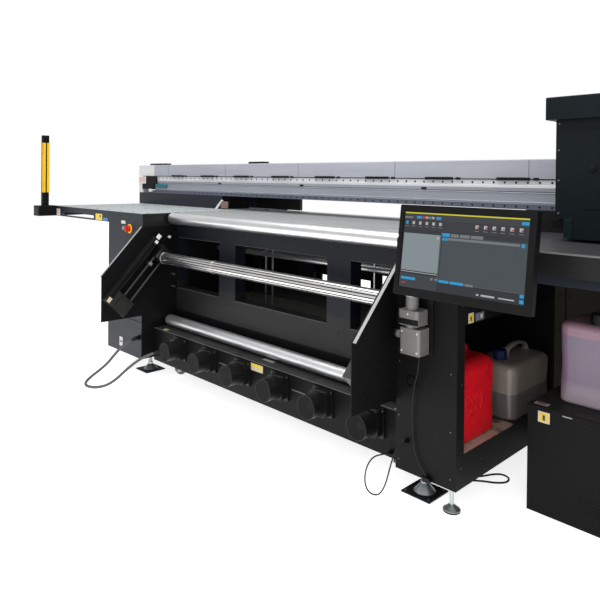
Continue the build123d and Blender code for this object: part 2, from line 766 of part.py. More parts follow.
def print_head_block():
    """Head plate with two UV lamps, and the trucks that hang it on the upper rail."""
    left = carriage_left + carriage_skirt_inset + sheet + seat_gap
    right = carriage_left + carriage_width - sheet - seat_gap
    y = (carriage_front + sheet + seat_gap, carriage_rear - sheet - seat_gap)
    plate = block((left, right), y, (carriage_bottom + 6, carriage_bottom + 26))
    lamps = [block((x, x + 110.0), (y[0] + 30, y[1] - 30), (carriage_bottom + 26, carriage_bottom + 190))
             for x in (left + 15.0, right - 125.0)]
    heads = [block((x, x + 50.0), (y[0] + 60, y[1] - 60), (carriage_bottom + 26, carriage_bottom + 150))
             for x in (left + 190.0, left + 270.0, left + 350.0, left + 430.0)]
    hangers = [block((x, x + 90.0), (carriage_rear, gantry_front + cover_wall - truck_gap),
                     (rail_bottom + 6, rail_top - 6))
               for x in (left + 40.0, right - 130.0)]
    return [plate, *lamps, *heads, *hangers]


# --- monitor, light curtains and small controls -------------------------------------------
def on_monitor():
    """Place of the monitor's own axes: its screen faces local -Y."""
    return Pos(*monitor_place) * Rot(-monitor_tilt, 0, 0)


def monitor_pivot():
    tilt = math.radians(monitor_tilt)
    return (monitor_place[0], monitor_place[1] + monitor_pin_back * math.cos(tilt),
            monitor_place[2] - monitor_pin_back * math.sin(tilt))


def monitor_case():
    half_w, half_h, half_d = monitor_width / 2, monitor_height / 2, monitor_depth / 2
    case = block((-half_w, half_w), (-half_d, half_d), (-half_h, half_h))
    case = fillet(case.edges().filter_by(Axis.Y), 6.0)
    case += block((-60, 60), (half_d, half_d + 10), (-60, 60))
    case += block((-18, 18), (half_d + 10, monitor_pin_back + 9), (-14, 14))
    case += rod_x((-32, 32), monitor_pin_back, 0, monitor_pin_radius)
    return on_monitor() * case


def monitor_arm():
    """Sleeve on the post, the arm behind the screen, and the fork for the tilt pin."""
    pivot = monitor_pivot()
    z = (post_top - arm_height - 2.0, post_top - 2.0)
    sleeve = rod_z(post_x, post_y, z, post_radius + 8.0)
    y = (post_y - arm_bar / 2, post_y + arm_bar / 2)
    bar = block((post_x, pivot[0] + 30), y, (z[0] + 8, z[1] - 8))
    riser = block((pivot[0] - 30, pivot[0] + 30), y, (z[0] + 8, pivot[2] + 20))
    arm = sleeve + bar + riser
    for side in (-1, 1):
        ear_x = (pivot[0] + side * 20, pivot[0] + side * 30)
        arm += block(ear_x, (pivot[1] - 10, post_y), (pivot[2] - 14, pivot[2] + 14))
    arm -= rod_z(post_x, post_y, (z[0] - 1, z[1] + 1), post_radius + pin_fit)
    arm -= rod_x((pivot[0] - 31, pivot[0] + 31), pivot[1], pivot[2], monitor_pin_radius + pin_fit)
    return arm


def monitor_post():
    """Silver post with its collar, clamp block and lower box, on a plate on the right cabinet."""
    face = -table_half_depth
    back = face - post_plate[2]
    plate = block(post_plate[0], (back, face), post_plate[1])
    foot_box = block(post_foot[0], (post_foot[2], back), post_foot[1])
    foot_box = fillet(foot_box.edges().filter_by(Axis.Z), 10.0)
    clamp = block(post_clamp[0], (post_clamp[2], back), post_clamp[1])
    clamp = fillet(clamp.edges().filter_by(Axis.Z), 12.0)
    column = rod_z(post_x, post_y, (post_foot[1][1], post_top), post_radius)
    shoulder_top = post_top - arm_height - 2.0 - seat_gap
    shoulder = rod_z(post_x, post_y, (shoulder_bottom, shoulder_top), post_radius + 6.0)
    knob = rod_x((knob_place[0], post_foot[0][0]), knob_place[1], knob_place[2], knob_radius)
    return plate + foot_box + clamp + column + shoulder + knob


def light_curtain():
    """Left foot box and post."""
    x = (-curtain_foot[1], -curtain_foot[0])
    foot = block(x, (curtain_front, -table_half_depth), (table_top - apron_height, table_top))
    foot = fillet(foot.edges().filter_by(Axis.Z), 4.0)
    post_x0 = x[0] + 30.0
    post = block((post_x0, post_x0 + 40.0), (-735.0, -685.0), (table_top, curtain_top))
    post = fillet(post.edges().filter_by(Axis.Z), 5.0)
    groove = block((post_x0 + 34.0, post_x0 + 41.0), (-722.0, -698.0), (table_top + 60.0, curtain_top - 25.0))
    return [foot, post - groove]


def main_switch():
    """Rotary handle with its shaft through the cabinet's front."""
    x, z = switch_place
    front = -table_half_depth
    disc = rod_y(x, (front - 16.0, front - 5.0), z, 21.0)
    handle = block((x - 6, x + 6), (front - 34.0, front - 16.0), (z - 20, z + 20))
    return disc + handle + rod_y(x, (front - 5.0, front + 12.0), z, switch_shaft_radius)


def start_button():
    x, z = button_place
    front = -table_half_depth
    stem = rod_y(x, (front - 5.0, front + 14.0), z, button_radius)
    return stem + rod_y(x, (front + 6.0, front + 8.0), z, button_radius + 3.0)


# --- casters ------------------------------------------------------------------------------
def caster_fork(place):
    x, y, underside = place
    top = underside - 7.0
    axle_y = y + caster_trail
    fork = rod_z(x, y, (top - 11.0, top), 30.0)
    leg_z = (caster_axle_height - 12, top - 5.0)
    for side in (-1, 1):
        fork += block((x + side * 16.0, x + side * 20.0), (y - 12, axle_y + 12), leg_z)
    fork -= rod_z(x, y, (top - 14.0, top + 1), caster_pin_radius + pin_fit)
    return fork + rod_x((x - 16.0, x + 16.0), axle_y, caster_axle_height, caster_axle_radius)


def caster_wheel(place):
    x, y, _ = place
    axle_y = y + caster_trail
    half = caster_width / 2
    wheel = rod_x((x - half, x + half), axle_y, caster_axle_height, caster_radius)
    wheel = fillet(wheel.edges().filter_by(GeomType.CIRCLE), 6.0)
    bore = rod_x((x - half - 1, x + half + 1), axle_y, caster_axle_height, caster_axle_radius + pin_fit)
    return wheel - bore


# --- cans ---------------------------------------------------------------------------------
def can(x, y, base, body_height, cap_at, cap_radius, cap_top):
    """Blow-moulded can with rounded sides, a handle over the top and a screw cap."""
    top = base + body_height
    body = block(x, y, (base, top))
    body = fillet(body.edges().filter_by(Axis.Z), can_side_radius)
    body = fillet(body.edges().group_by(Axis.Z)[-1], can_top_radius)
    body += rod_z(cap_at[0], cap_at[1], (top - 4, cap_top), cap_radius)
    return body


def handle(x, y, top, rise):
    """Arched handle along Y, with a finger gap under it."""
    half = handle_width / 2
    grip = block((x - half, x + half), y, (top - 4, top + rise))
    grip = fillet(grip.edges().filter_by(Axis.X).group_by(Axis.Z)[-1], 24.0)
    gap_y = (y[0] + handle_leg, y[1] - handle_leg)
    return grip - block((x - half - 1, x + half + 1), gap_y, (top, top + rise - handle_bar))


def red_can():
    x, y, height = red_can_place
    top = compartment_floor + height
    body = can(x, y, compartment_floor, height, (1150.0, -520.0), 26.0, top + 62.0)
    return body + handle(1150.0, (-480.0, -335.0), top, 52.0)


def clear_can():
    x, y, height = clear_can_place
    top = compartment_floor + height
    body = can(x, y, compartment_floor, height, (1180.0, -85.0), 30.0, top + 44.0)
    return body + handle(1180.0, (-40.0, 165.0), top, 52.0)


def pink_can():
    x, y, height = pink_can_place
    top = cooler_top + height
    body = can(x, y, cooler_top, height, (1640.0, -178.0), 32.0, top + 44.0)
    return body + handle(1640.0, (-128.0, 0.0), top, 50.0)


# --- cords --------------------------------------------------------------------------------
power_route = [(-1040, -668, 253), (-1042, -726, 236), (-1062, -774, 194), (-1088, -800, 150),
               (-1118, -820, 106), (-1158, -852, 60), (-1168, -912, 24), (-1130, -966, 9),
               (-1066, -984, 9), (-1006, -956, 9), (-976, -896, 16), (-982, -828, 40),
               (-992, -766, 74), (-984, -712, 110), (-956, -672, 142), (-924, -632, 166),
               (-906, -580, 178)]
fan_route = [(1070, -662, 246), (1066, -694, 234), (1050, -706, 192), (1030, -704, 126), (1012, -704, 64),
             (984, -706, 16), (944, -704, 4), (902, -688, 6), (870, -662, 30), (864, -640, 72),
             (880, -620, 110), (908, -600, 124), (925, -572, 125)]
monitor_route = [(1158, -690, 620), (1158, -690, 566), (1130, -672, 510), (1110, -658, 448),
                 (1102, -651, 376), (1104, -650, 300), (1112, -650, 228), (1136, -650, 176),
                 (1162, -650, 152), (1170, -650, 138)]
floor_route = [(1090, -330, 96), (1092, -322, 58), (1112, -302, 22), (1146, -272, 5), (1180, -236, 5),
               (1200, -186, 5), (1232, -150, 5), (1272, -162, 5), (1282, -206, 5), (1250, -246, 5),
               (1204, -270, 5), (1164, -304, 5), (1140, -344, 20), (1130, -366, 56), (1130, -370, 96)]


def bend_radii(points):
    """Radius at each inner corner: 0.45 of the shorter run over the tangent of half the turn."""
    radii = []
    for before, here, after in zip(points, points[1:], points[2:]):
        first, second = Vector(*here) - Vector(*before), Vector(*after) - Vector(*here)
        half_turn = math.radians(first.get_angle(second)) / 2
        radii.append(0.45 * min(first.length, second.length) / math.tan(half_turn))
    return radii


def cord(name, points, diameter):
    """Tube of straight runs joined by tangent arcs."""
    radii = bend_radii(points)
    path = FilletPolyline(*points, radius=radii)
    start = Plane(origin=path @ 0, z_dir=path % 0)
    tube = sweep(start * Circle(diameter / 2), path=path)
    section = math.pi * diameter ** 2 / 4
    print(name, "length", round(path.length), "radii", [round(r) for r in radii],
          "volume ratio", round(tube.volume / (section * path.length), 4))
    return tube


def gland(at, direction, length, radius):
    """Strain relief with a hexagon at its root; it ends in a flat face at the given point."""
    away = Vector(*direction).normalized()
    root = Vector(*at) - away * length
    plane = Plane(origin=root, z_dir=away)
    body = plane * extrude(RegularPolygon(radius * 1.45, 6), length * 0.35)
    neck = plane * Pos(0, 0, length * 0.35) * extrude(Circle(radius), length * 0.65)
    return body + neck


def cable_glands():
    """Every fitting where a cord leaves or enters, and the round grommet beside the monitor post."""
    glands = []
    for route, diameter, start_dir, end_dir in (
            (power_route, power_cable_diameter, (0, -1, 0), (0, -1, 0)),
            (fan_route, thin_cable_diameter, (0, -1, 0), (0, -1, 0)),
            (floor_route, floor_cable_diameter, (0, 0, -1), (0, 0, -1))):
        radius = diameter * 0.5 + 5.0
        for at, direction in ((route[0], start_dir), (route[-1], end_dir)):
            glands.append((at, direction, radius))
    made = []
    for at, direction, radius in glands:
        if direction[1]:
            wall = -table_half_depth if abs(at[0]) > plate_inner + plate_thickness else duct_front
            length = wall - at[1]
        else:
            length = right_cabinet_floor - at[2]
        made.append(gland(at, direction, length, radius))
    clip = block((1155.0, 1188.0), (-660.0, -table_half_depth), (right_cabinet_floor, monitor_route[-1][2]))
    grommet = rod_y(1087.0, (-table_half_depth - 5, -table_half_depth), 487.0, 26.0)
    grommet -= rod_y(1087.0, (-table_half_depth - 6, -table_half_depth + 1), 487.0, 17.0)
    return [*made, clip, grommet]


# --- build --------------------------------------------------------------------------------
def main():
    os.makedirs("parts", exist_ok=True)
    save("base_frame", *base_frame(), *rear_caster_pads())
    windows = window_frame()
    save("window_frames", *windows, *[mirrored_y(piece) for piece in windows])
    plate = side_plate()
    save("front_side_plates", plate, mirrored_x(plate))
    save("rear_side_plates", mirrored_y(plate), mirrored_x(mirrored_y(plate)))
    save("left_cabinet", *left_cabinet())
    save("right_cabinet", *right_cabinet())
    save("left_table", *left_table())
    save("right_table", *right_table())
    save("cooler_cabinet", *cooler_cabinet())
    save("ink_cabinet", *ink_cabinet())
    save("levelling_feet", *levelling_feet())
    save("transport_belt", transport_belt())
    save("vacuum_bed", vacuum_bed())
    save("belt_drive_roller", drive_roller())
    for end, turn in (("front", lambda part: part), ("rear", mirrored_y)):
        save(f"{end}_guide_roller", turn(guide_roller()))
        save(f"{end}_tension_roller", turn(tension_roller()))
        save(f"{end}_air_shaft", turn(air_shaft()))
        bearing = turn(bearing_block())
        save(f"{end}_shaft_blocks", bearing, mirrored_x(bearing))
    guides = solids_of(shaft_guide())
    sets = guides + [mirrored_x(piece) for piece in guides]
    save("shaft_guides", *sets, *[mirrored_y(piece) for piece in sets])
    save("fan_duct", *fan_duct())
    save("fan_housings", *[fan_housing(x) for x in fan_places()])
    for index, x in enumerate(fan_places(), start=1):
        save(f"fan_rotor_{index}", fan_rotor(x))
    save("gantry_beam", gantry_beam())
    save("gantry_cover", *gantry_cover())
    save("gantry_rails", *gantry_rails())
    save("gantry_pedestals", *gantry_pedestals())
    save("carriage_shell", *carriage_shell())
    save("carriage_hood", *carriage_hood())
    save("print_head_block", *print_head_block())
    curtain = light_curtain()
    save("light_curtains", *curtain, *[mirrored_x(piece) for piece in curtain])
    save("monitor_post", monitor_post())
    save("monitor_arm", monitor_arm())
    save("monitor_case", monitor_case())
    save("main_switch", main_switch())
    save("start_button", start_button())
    for index, place in enumerate(caster_places(), start=1):
        save(f"caster_fork_{index}", caster_fork(place))
        save(f"caster_wheel_{index}", caster_wheel(place))
    save("red_can", red_can())
    save("clear_can", clear_can())
    save("pink_can", pink_can())
    save("cable_glands", *cable_glands())
    save("power_cable", cord("power_cable", power_route, power_cable_diameter))
    save("fan_cable", cord("fan_cable", fan_route, thin_cable_diameter))
    save("monitor_cable", cord("monitor_cable", monitor_route, thin_cable_diameter))
    save("floor_cable", cord("floor_cable", floor_route, floor_cable_diameter))
    print("monitor pivot", monitor_pivot(), "slope", slope_angle())


main()
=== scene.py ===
"""Looks of a wide format hybrid UV printer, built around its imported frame.

Metres, +X to the right along the gantry, -Y to the front, +Z up.
"""
import logging
import math
from dataclasses import dataclass, field
from enum import Enum

import bpy
import numpy as np
from mathutils import Matrix


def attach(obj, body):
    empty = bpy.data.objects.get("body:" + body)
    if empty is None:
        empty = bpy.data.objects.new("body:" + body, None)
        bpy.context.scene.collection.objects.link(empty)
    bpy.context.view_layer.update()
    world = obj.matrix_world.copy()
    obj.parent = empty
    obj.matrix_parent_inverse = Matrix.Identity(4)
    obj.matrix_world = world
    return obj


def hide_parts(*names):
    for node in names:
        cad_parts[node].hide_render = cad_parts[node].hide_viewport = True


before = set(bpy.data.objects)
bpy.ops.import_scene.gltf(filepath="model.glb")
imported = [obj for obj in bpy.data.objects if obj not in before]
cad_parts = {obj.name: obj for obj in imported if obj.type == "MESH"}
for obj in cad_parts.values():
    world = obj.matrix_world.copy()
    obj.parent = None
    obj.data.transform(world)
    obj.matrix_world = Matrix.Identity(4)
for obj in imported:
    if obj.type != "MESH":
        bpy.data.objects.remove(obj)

LOG = logging.getLogger("printer")
MACHINE = "frame"
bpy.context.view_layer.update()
FACES_UP = 0.7                       # upward part of a normal beyond which dust settles
DUST = (0.55, 0.54, 0.52)
SOIL = (0.25, 0.23, 0.20)
# painted shade: colour of the shaft's grooves, standing in for the shade in them
GROOVE_PAINTED_SHADE = (0.018, 0.016, 0.016)
# painted shade: colour of the belt's suction holes
HOLE_PAINTED_SHADE = (0.03, 0.03, 0.03)
BLOT = (0.16, 0.09, 0.07)
DARK_GLASS = (0.010, 0.010, 0.012)
# painted shade: colour of the tables' inner ends below their edge
PAINTED_END_SHADE = (0.006, 0.006, 0.006)
MILLIMETRE = 0.001


# --- shader expressions -------------------------------------------------------------------
class Value:
    """A number inside a node tree; arithmetic on it adds Math nodes."""

    def __init__(self, graph: "Graph", socket: bpy.types.NodeSocket) -> None:
        """Wrap one socket of a graph."""
        self.graph = graph
        self.socket = socket

    def _math(self, operation: str, first: "Value | float", second: "Value | float" = 0.0) -> "Value":
        """Return the result of one Math node on two operands."""
        made = self.graph.node("ShaderNodeMath", {"operation": operation}, {0: first, 1: second})
        return Value(self.graph, made.outputs[0])

    def __add__(self, other: "Value | float") -> "Value":
        """Return the sum."""
        return self._math("ADD", self, other)

    __radd__ = __add__

    def __sub__(self, other: "Value | float") -> "Value":
        """Return the difference."""
        return self._math("SUBTRACT", self, other)

    def __rsub__(self, other: float) -> "Value":
        """Return a number less this value."""
        return self._math("SUBTRACT", other, self)

    def __mul__(self, other: "Value | float") -> "Value":
        """Return the product."""
        return self._math("MULTIPLY", self, other)

    def __gt__(self, other: "Value | float") -> "Value":
        """Return 1 where this value is greater, else 0."""
        return self._math("GREATER_THAN", self, other)

    def __lt__(self, other: "Value | float") -> "Value":
        """Return 1 where this value is less, else 0."""
        return self._math("LESS_THAN", self, other)

    def __abs__(self) -> "Value":
        """Return the size without its sign."""
        return self._math("ABSOLUTE", self)

    def angle(self, across: "Value") -> "Value":
        """Return the angle, in radians, of a point this far up and that far across."""
        return self._math("ARCTAN2", self, across)

    def fraction(self) -> "Value":
        """Return the part after the point."""
        return self._math("FRACT", self)


class Graph:
    """One material's node tree."""

    def __init__(self, name: str) -> None:
        """Start a material of that name with its Principled shader."""
        self.material = bpy.data.materials.new(name)
        self.material.use_nodes = True
        self.tree = self.material.node_tree
        self.shader = self.tree.nodes["Principled BSDF"]

    def connect(self, socket: bpy.types.NodeSocket, value: object) -> None:
        """Link a value to a socket, or set the socket to a number or colour."""
        source = value.socket if isinstance(value, Value) else value
        if isinstance(source, bpy.types.NodeSocket):
            self.tree.links.new(source, socket)
        else:
            socket.default_value = source

    def node(self, kind: str, settings: dict, sockets: dict) -> bpy.types.Node:
        """Add a node.

        Args:
            kind: the node's type.
            settings: attributes, set first.
            sockets: values or links by input name or number.

        Returns:
            The new node.
        """
        made = self.tree.nodes.new(kind)
        for key, value in settings.items():
            setattr(made, key, value)
        for key, value in sockets.items():
            self.connect(made.inputs[key], value)
        return made

    def place(self) -> tuple[Value, Value, Value]:
        """Return the x, y and z of the point that is shaded."""
        spot = self.node("ShaderNodeTexCoord", {}, {}).outputs["Object"]
        parts = self.node("ShaderNodeSeparateXYZ", {}, {0: spot})
        return tuple(Value(self, socket) for socket in parts.outputs)

    def up(self) -> Value:
        """Return how far the surface faces upwards, from -1 to 1."""
        normal = self.node("ShaderNodeNewGeometry", {}, {}).outputs["Normal"]
        return Value(self, self.node("ShaderNodeSeparateXYZ", {}, {0: normal}).outputs[2])

    def noise(self, scale: float, stretch: tuple = (1.0, 1.0, 1.0), detail: float = 2.0) -> Value:
        """Return noise from 0 to 1 with so many cells to the metre, stretched along the axes."""
        spot = self.node("ShaderNodeTexCoord", {}, {}).outputs["Object"]
        mapped = self.node("ShaderNodeMapping", {}, {"Vector": spot, "Scale": stretch}).outputs[0]
        made = self.node("ShaderNodeTexNoise", {}, {"Vector": mapped, "Scale": scale, "Detail": detail})
        return Value(self, made.outputs[0])

    def mix(self, factor: Value | float, first: object, second: object) -> bpy.types.NodeSocket:
        """Return the colour between two colours; the factor is kept from 0 to 1."""
        made = self.node("ShaderNodeMix", {"data_type": "RGBA"}, {0: factor, 6: first, 7: second})
        return made.outputs[2]

    def shaded(self, factor: Value, colour: tuple, low: float, high: float) -> bpy.types.NodeSocket:
        """Return a colour that goes from one share of its brightness to another with the factor."""
        return self.mix(factor, tone(colour, low), tone(colour, high))

    def bump(self, height: Value, distance: float) -> bpy.types.NodeSocket:
        """Return the normal of a surface whose height varies by that many metres."""
        return self.node("ShaderNodeBump", {}, {"Height": height, "Distance": distance}).outputs[0]

    def dress(self, **sockets: object) -> bpy.types.Material:
        """Set the shader's sockets, named with underscores for spaces, and return the material."""
        for key, value in sockets.items():
            self.connect(self.shader.inputs[key.replace("_", " ")], value)
        return self.material


def tone(colour: tuple, factor: float = 1.0) -> tuple:
    """Return a colour with its alpha, brightened by a factor."""
    return (*[min(1.0, channel * factor) for channel in colour[:3]], 1.0)


# --- finishes -----------------------------------------------------------------------------
class Axis(Enum):
    """Direction in which a shape or a pattern runs."""

    X = 0
    Y = 1
    Z = 2


@dataclass(frozen=True)
class Finish:
    """A named finish with its main colour."""

    name: str
    colour: tuple


@dataclass(frozen=True)
class PowderCoat(Finish):
    """Textured paint with faint mottling, and dust where it faces up."""

    roughness: float = 0.5
    dust: float = 0.10

    def material(self) -> bpy.types.Material:
        """Return the paint's material."""
        graph = Graph(self.name)
        cloud = graph.noise(3.0, detail=4.0)
        grain = graph.noise(420.0)
        settled = (graph.up() > FACES_UP) * graph.noise(14.0, detail=5.0) * self.dust
        body = graph.shaded(cloud, self.colour, 0.78, 1.25)
        body = graph.mix(settled, body, tone(DUST))
        return graph.dress(Base_Color=body, Roughness=self.roughness + (cloud - 0.5) * 0.22,
                           Normal=graph.bump(grain, 0.0002), Specular_IOR_Level=0.12)


@dataclass(frozen=True)
class TablePaint(Finish):
    """Satin paint on a table's top and its edge, dark paint below, and near black painted shade on the inner
    end.
    """

    below: tuple
    edge: float
    inner: float

    def material(self) -> bpy.types.Material:
        """Return the two-tone material, split at the height of the edge."""
        graph = Graph(self.name)
        x, _, height = graph.place()
        scuffs = graph.noise(9.0, (1.0, 6.0, 1.0), 6.0)
        pale = graph.shaded(scuffs, self.colour, 0.80, 1.16)
        dark = graph.shaded(graph.noise(3.0), self.below, 0.8, 1.25)
        # painted shade: below the edge, the inner end is near black
        dark = graph.mix(abs(x) < self.inner, dark, tone(PAINTED_END_SHADE))
        above = height > self.edge
        return graph.dress(Base_Color=graph.mix(above, dark, pale), Roughness=0.34 + scuffs * 0.24,
                           Normal=graph.bump(graph.noise(380.0), 0.00015), Specular_IOR_Level=0.3)


@dataclass(frozen=True)
class TwoTone(Finish):
    """Finish that changes to a second one beyond a plane, or beyond two mirrored planes."""

    other: tuple
    axis: Axis
    limit: float
    mirrored: bool = False
    metallic: tuple = (0.0, 0.0)
    roughness: float = 0.34

    def material(self) -> bpy.types.Material:
        """Return the material, with its second colour past the limit."""
        graph = Graph(self.name)
        along = graph.place()[self.axis.value]
        past = (abs(along) if self.mirrored else along) > self.limit
        haze = graph.noise(2.0, (1.0, 1.0, 9.0), 4.0)
        near = graph.shaded(haze, self.colour, 0.82, 1.18)
        far = graph.shaded(haze, self.other, 0.82, 1.18)
        first, second = self.metallic
        return graph.dress(Base_Color=graph.mix(past, near, far), Roughness=self.roughness + haze * 0.22,
                           Metallic=(1.0 - past) * first + past * second, Specular_IOR_Level=0.25,
                           Normal=graph.bump(graph.noise(300.0), 0.0001))


@dataclass(frozen=True)
class FlutedMetal(Finish):
    """Bright shaft whose grooves along it are painted near black as shade."""

    centre: tuple = (0.520, 0.770)
    flutes: int = 16
    groove: float = 0.19

    def material(self) -> bpy.types.Material:
        """Return the shaft's material.

        The angle about the shaft's axis, counted in flutes, has a whole number at each groove; a
        point is in a groove where it is nearer than that share to a whole number.
        """
        graph = Graph(self.name)
        _, y, z = graph.place()
        angle = (z - self.centre[1]).angle(abs(y) - self.centre[0])
        count = angle * (self.flutes / (2 * math.pi))
        groove = abs((count + 0.5).fraction() - 0.5) < self.groove
        smudge = graph.noise(5.0, (1.0, 3.0, 3.0), 5.0)
        bright = graph.shaded(smudge, self.colour, 0.8, 1.1)
        # painted shade: in the grooves the colour is near black and the metal is not metallic
        return graph.dress(Base_Color=graph.mix(groove, bright, tone(GROOVE_PAINTED_SHADE)), Metallic=1.0 - groove,
                           Roughness=0.22 + groove * 0.35 + smudge * 0.12)


@dataclass(frozen=True)
class BrushedMetal(Finish):
    """Metal with fine lines along one axis."""

    roughness: float = 0.3
    along: Axis = Axis.X

    def material(self) -> bpy.types.Material:
        """Return the brushed metal's material."""
        graph = Graph(self.name)
        stretch = tuple(0.02 if axis == self.along.value else 1.0 for axis in range(3))
        lines = graph.noise(500.0, stretch)
        smudge = graph.noise(6.0, detail=4.0)
        return graph.dress(Base_Color=graph.shaded(lines, self.colour, 0.82, 1.12), Metallic=1.0,
                           Roughness=self.roughness + lines * 0.10 + smudge * 0.10,
                           Normal=graph.bump(lines, 0.00006))


@dataclass(frozen=True)
class TurnedMetal(Finish):
    """Bright roller with the fine rings of the lathe and faint smudges."""

    roughness: float = 0.24

    def material(self) -> bpy.types.Material:
        """Return the turned metal's material."""
        graph = Graph(self.name)
        rings = graph.noise(260.0, (1.0, 0.0, 0.0), 3.0)
        smudge = graph.noise(5.0, (1.0, 3.0, 3.0), 5.0)
        return graph.dress(Base_Color=graph.shaded(smudge, self.colour, 0.86, 1.06), Metallic=1.0,
                           Roughness=self.roughness + rings * 0.08 + smudge * 0.08,
                           Normal=graph.bump(rings, 0.00004))


@dataclass(frozen=True)
class PerforatedBelt(Finish):
    """Grey belt with a square field of suction holes painted dark as shade, and faint ink stains."""

    pitch: float = 0.020
    hole: float = 0.19

    def material(self) -> bpy.types.Material:
        """Return the belt's material.

        A hole is where the distance from the middle of a cell, in pitches, is below hole.
        """
        graph = Graph(self.name)
        x, y, _ = graph.place()
        across = (x * (1.0 / self.pitch)).fraction() - 0.5
        along = (y * (1.0 / self.pitch)).fraction() - 0.5
        hole = (across * across + along * along) < self.hole ** 2
        flat = graph.up() > 0.5
        stain = graph.noise(7.0, (0.3, 1.0, 1.0), 5.0)
        body = graph.shaded(stain, self.colour, 0.75, 1.2)
        # painted shade: where a hole lies on the flat top, the belt is coloured near black
        return graph.dress(Base_Color=graph.mix(hole * flat, body, tone(HOLE_PAINTED_SHADE)),
                           Roughness=0.42 + stain * 0.25, Normal=graph.bump(1.0 - hole * flat, 0.0006))


@dataclass(frozen=True)
class MouldedPlastic(Finish):
    """Plastic with a fine moulded grain."""

    roughness: float = 0.42
    coat: float = 0.0

    def material(self) -> bpy.types.Material:
        """Return the plastic's material."""
        graph = Graph(self.name)
        wear = graph.noise(22.0, detail=4.0)
        body = graph.shaded(wear, self.colour, 0.84, 1.18)
        return graph.dress(Base_Color=body, Roughness=self.roughness + (wear - 0.5) * 0.2,
                           Coat_Weight=self.coat, Specular_IOR_Level=0.2,
                           Normal=graph.bump(graph.noise(650.0), 0.0001))


@dataclass(frozen=True)
class MilkyCan(Finish):
    """Blow-moulded can wall that shows the liquid in it up to a level, with painted light that makes it paler
    at its foot.
    """

    liquid: tuple
    level: float
    foot: tuple
    foot_top: float
    band: float = 0.004
    fade: float = 1.0 / 11.0

    def material(self) -> bpy.types.Material:
        """Return the wall's material: the wall's own colour above the level, the liquid's below."""
        graph = Graph(self.name)
        height = graph.place()[2]
        flow = graph.noise(7.0, (1.0, 1.0, 0.35), 3.0)
        wall = graph.shaded(flow, self.colour, 0.80, 1.20)
        liquid = graph.shaded(flow, self.liquid, 0.80, 1.25)
        # painted light: below the foot's top the liquid turns towards the paler foot colour
        lit = (self.foot_top - height) * (1.0 / self.fade)
        liquid = graph.mix(lit, liquid, tone(self.foot))
        full = (self.level - height) * (1.0 / self.band)
        return graph.dress(Base_Color=graph.mix(full, wall, liquid), Roughness=0.28 + flow * 0.16,
                           Coat_Weight=0.25, Subsurface_Weight=0.12,
                           Normal=graph.bump(graph.noise(45.0, detail=3.0), 0.0012))


@dataclass(frozen=True)
class Rubber(Finish):
    """Cord jacket or tread with a dull sheen."""

    roughness: float = 0.5

    def material(self) -> bpy.types.Material:
        """Return the rubber's material."""
        graph = Graph(self.name)
        bloom = graph.noise(30.0, detail=3.0)
        body = graph.shaded(bloom, self.colour, 0.75, 1.25)
        return graph.dress(Base_Color=body, Roughness=self.roughness + bloom * 0.15,
                           Normal=graph.bump(graph.noise(900.0), 0.00008), Specular_IOR_Level=0.2)


@dataclass(frozen=True)
class PrintedCard:
    """Label or screen whose flat colours are kept with its mesh."""

    name: str
    glow: float = 0.0

    def material(self) -> bpy.types.Material:
        """Return a material that reads the mesh's own tint, lit from within where it glows."""
        graph = Graph(self.name)
        tint = graph.node("ShaderNodeAttribute", {"attribute_name": "Tint"}, {}).outputs["Color"]
        soil = graph.noise(60.0, detail=4.0)
        if self.glow:
            return graph.dress(Base_Color=tone(DARK_GLASS), Emission_Color=tint, Emission_Strength=self.glow,
                               Roughness=0.4 + soil * 0.06, Specular_IOR_Level=0.12)
        return graph.dress(Base_Color=graph.mix(soil * 0.25, tint, tone(SOIL)), Roughness=0.35 + soil * 0.2)


@dataclass(frozen=True)
class StainedPaper(Finish):
    """Absorbent liner with brown and dark ink blots."""

    def material(self) -> bpy.types.Material:
        """Return the liner's material."""
        graph = Graph(self.name)
        blots = graph.noise(16.0, detail=5.0)
        fibre = graph.noise(160.0, detail=4.0)
        clean = graph.shaded(fibre, self.colour, 0.85, 1.15)
        marks = (blots - 0.52) * 9.0
        return graph.dress(Base_Color=graph.mix(marks, clean, tone(BLOT)), Roughness=0.85,
                           Normal=graph.bump(fibre, 0.0006))


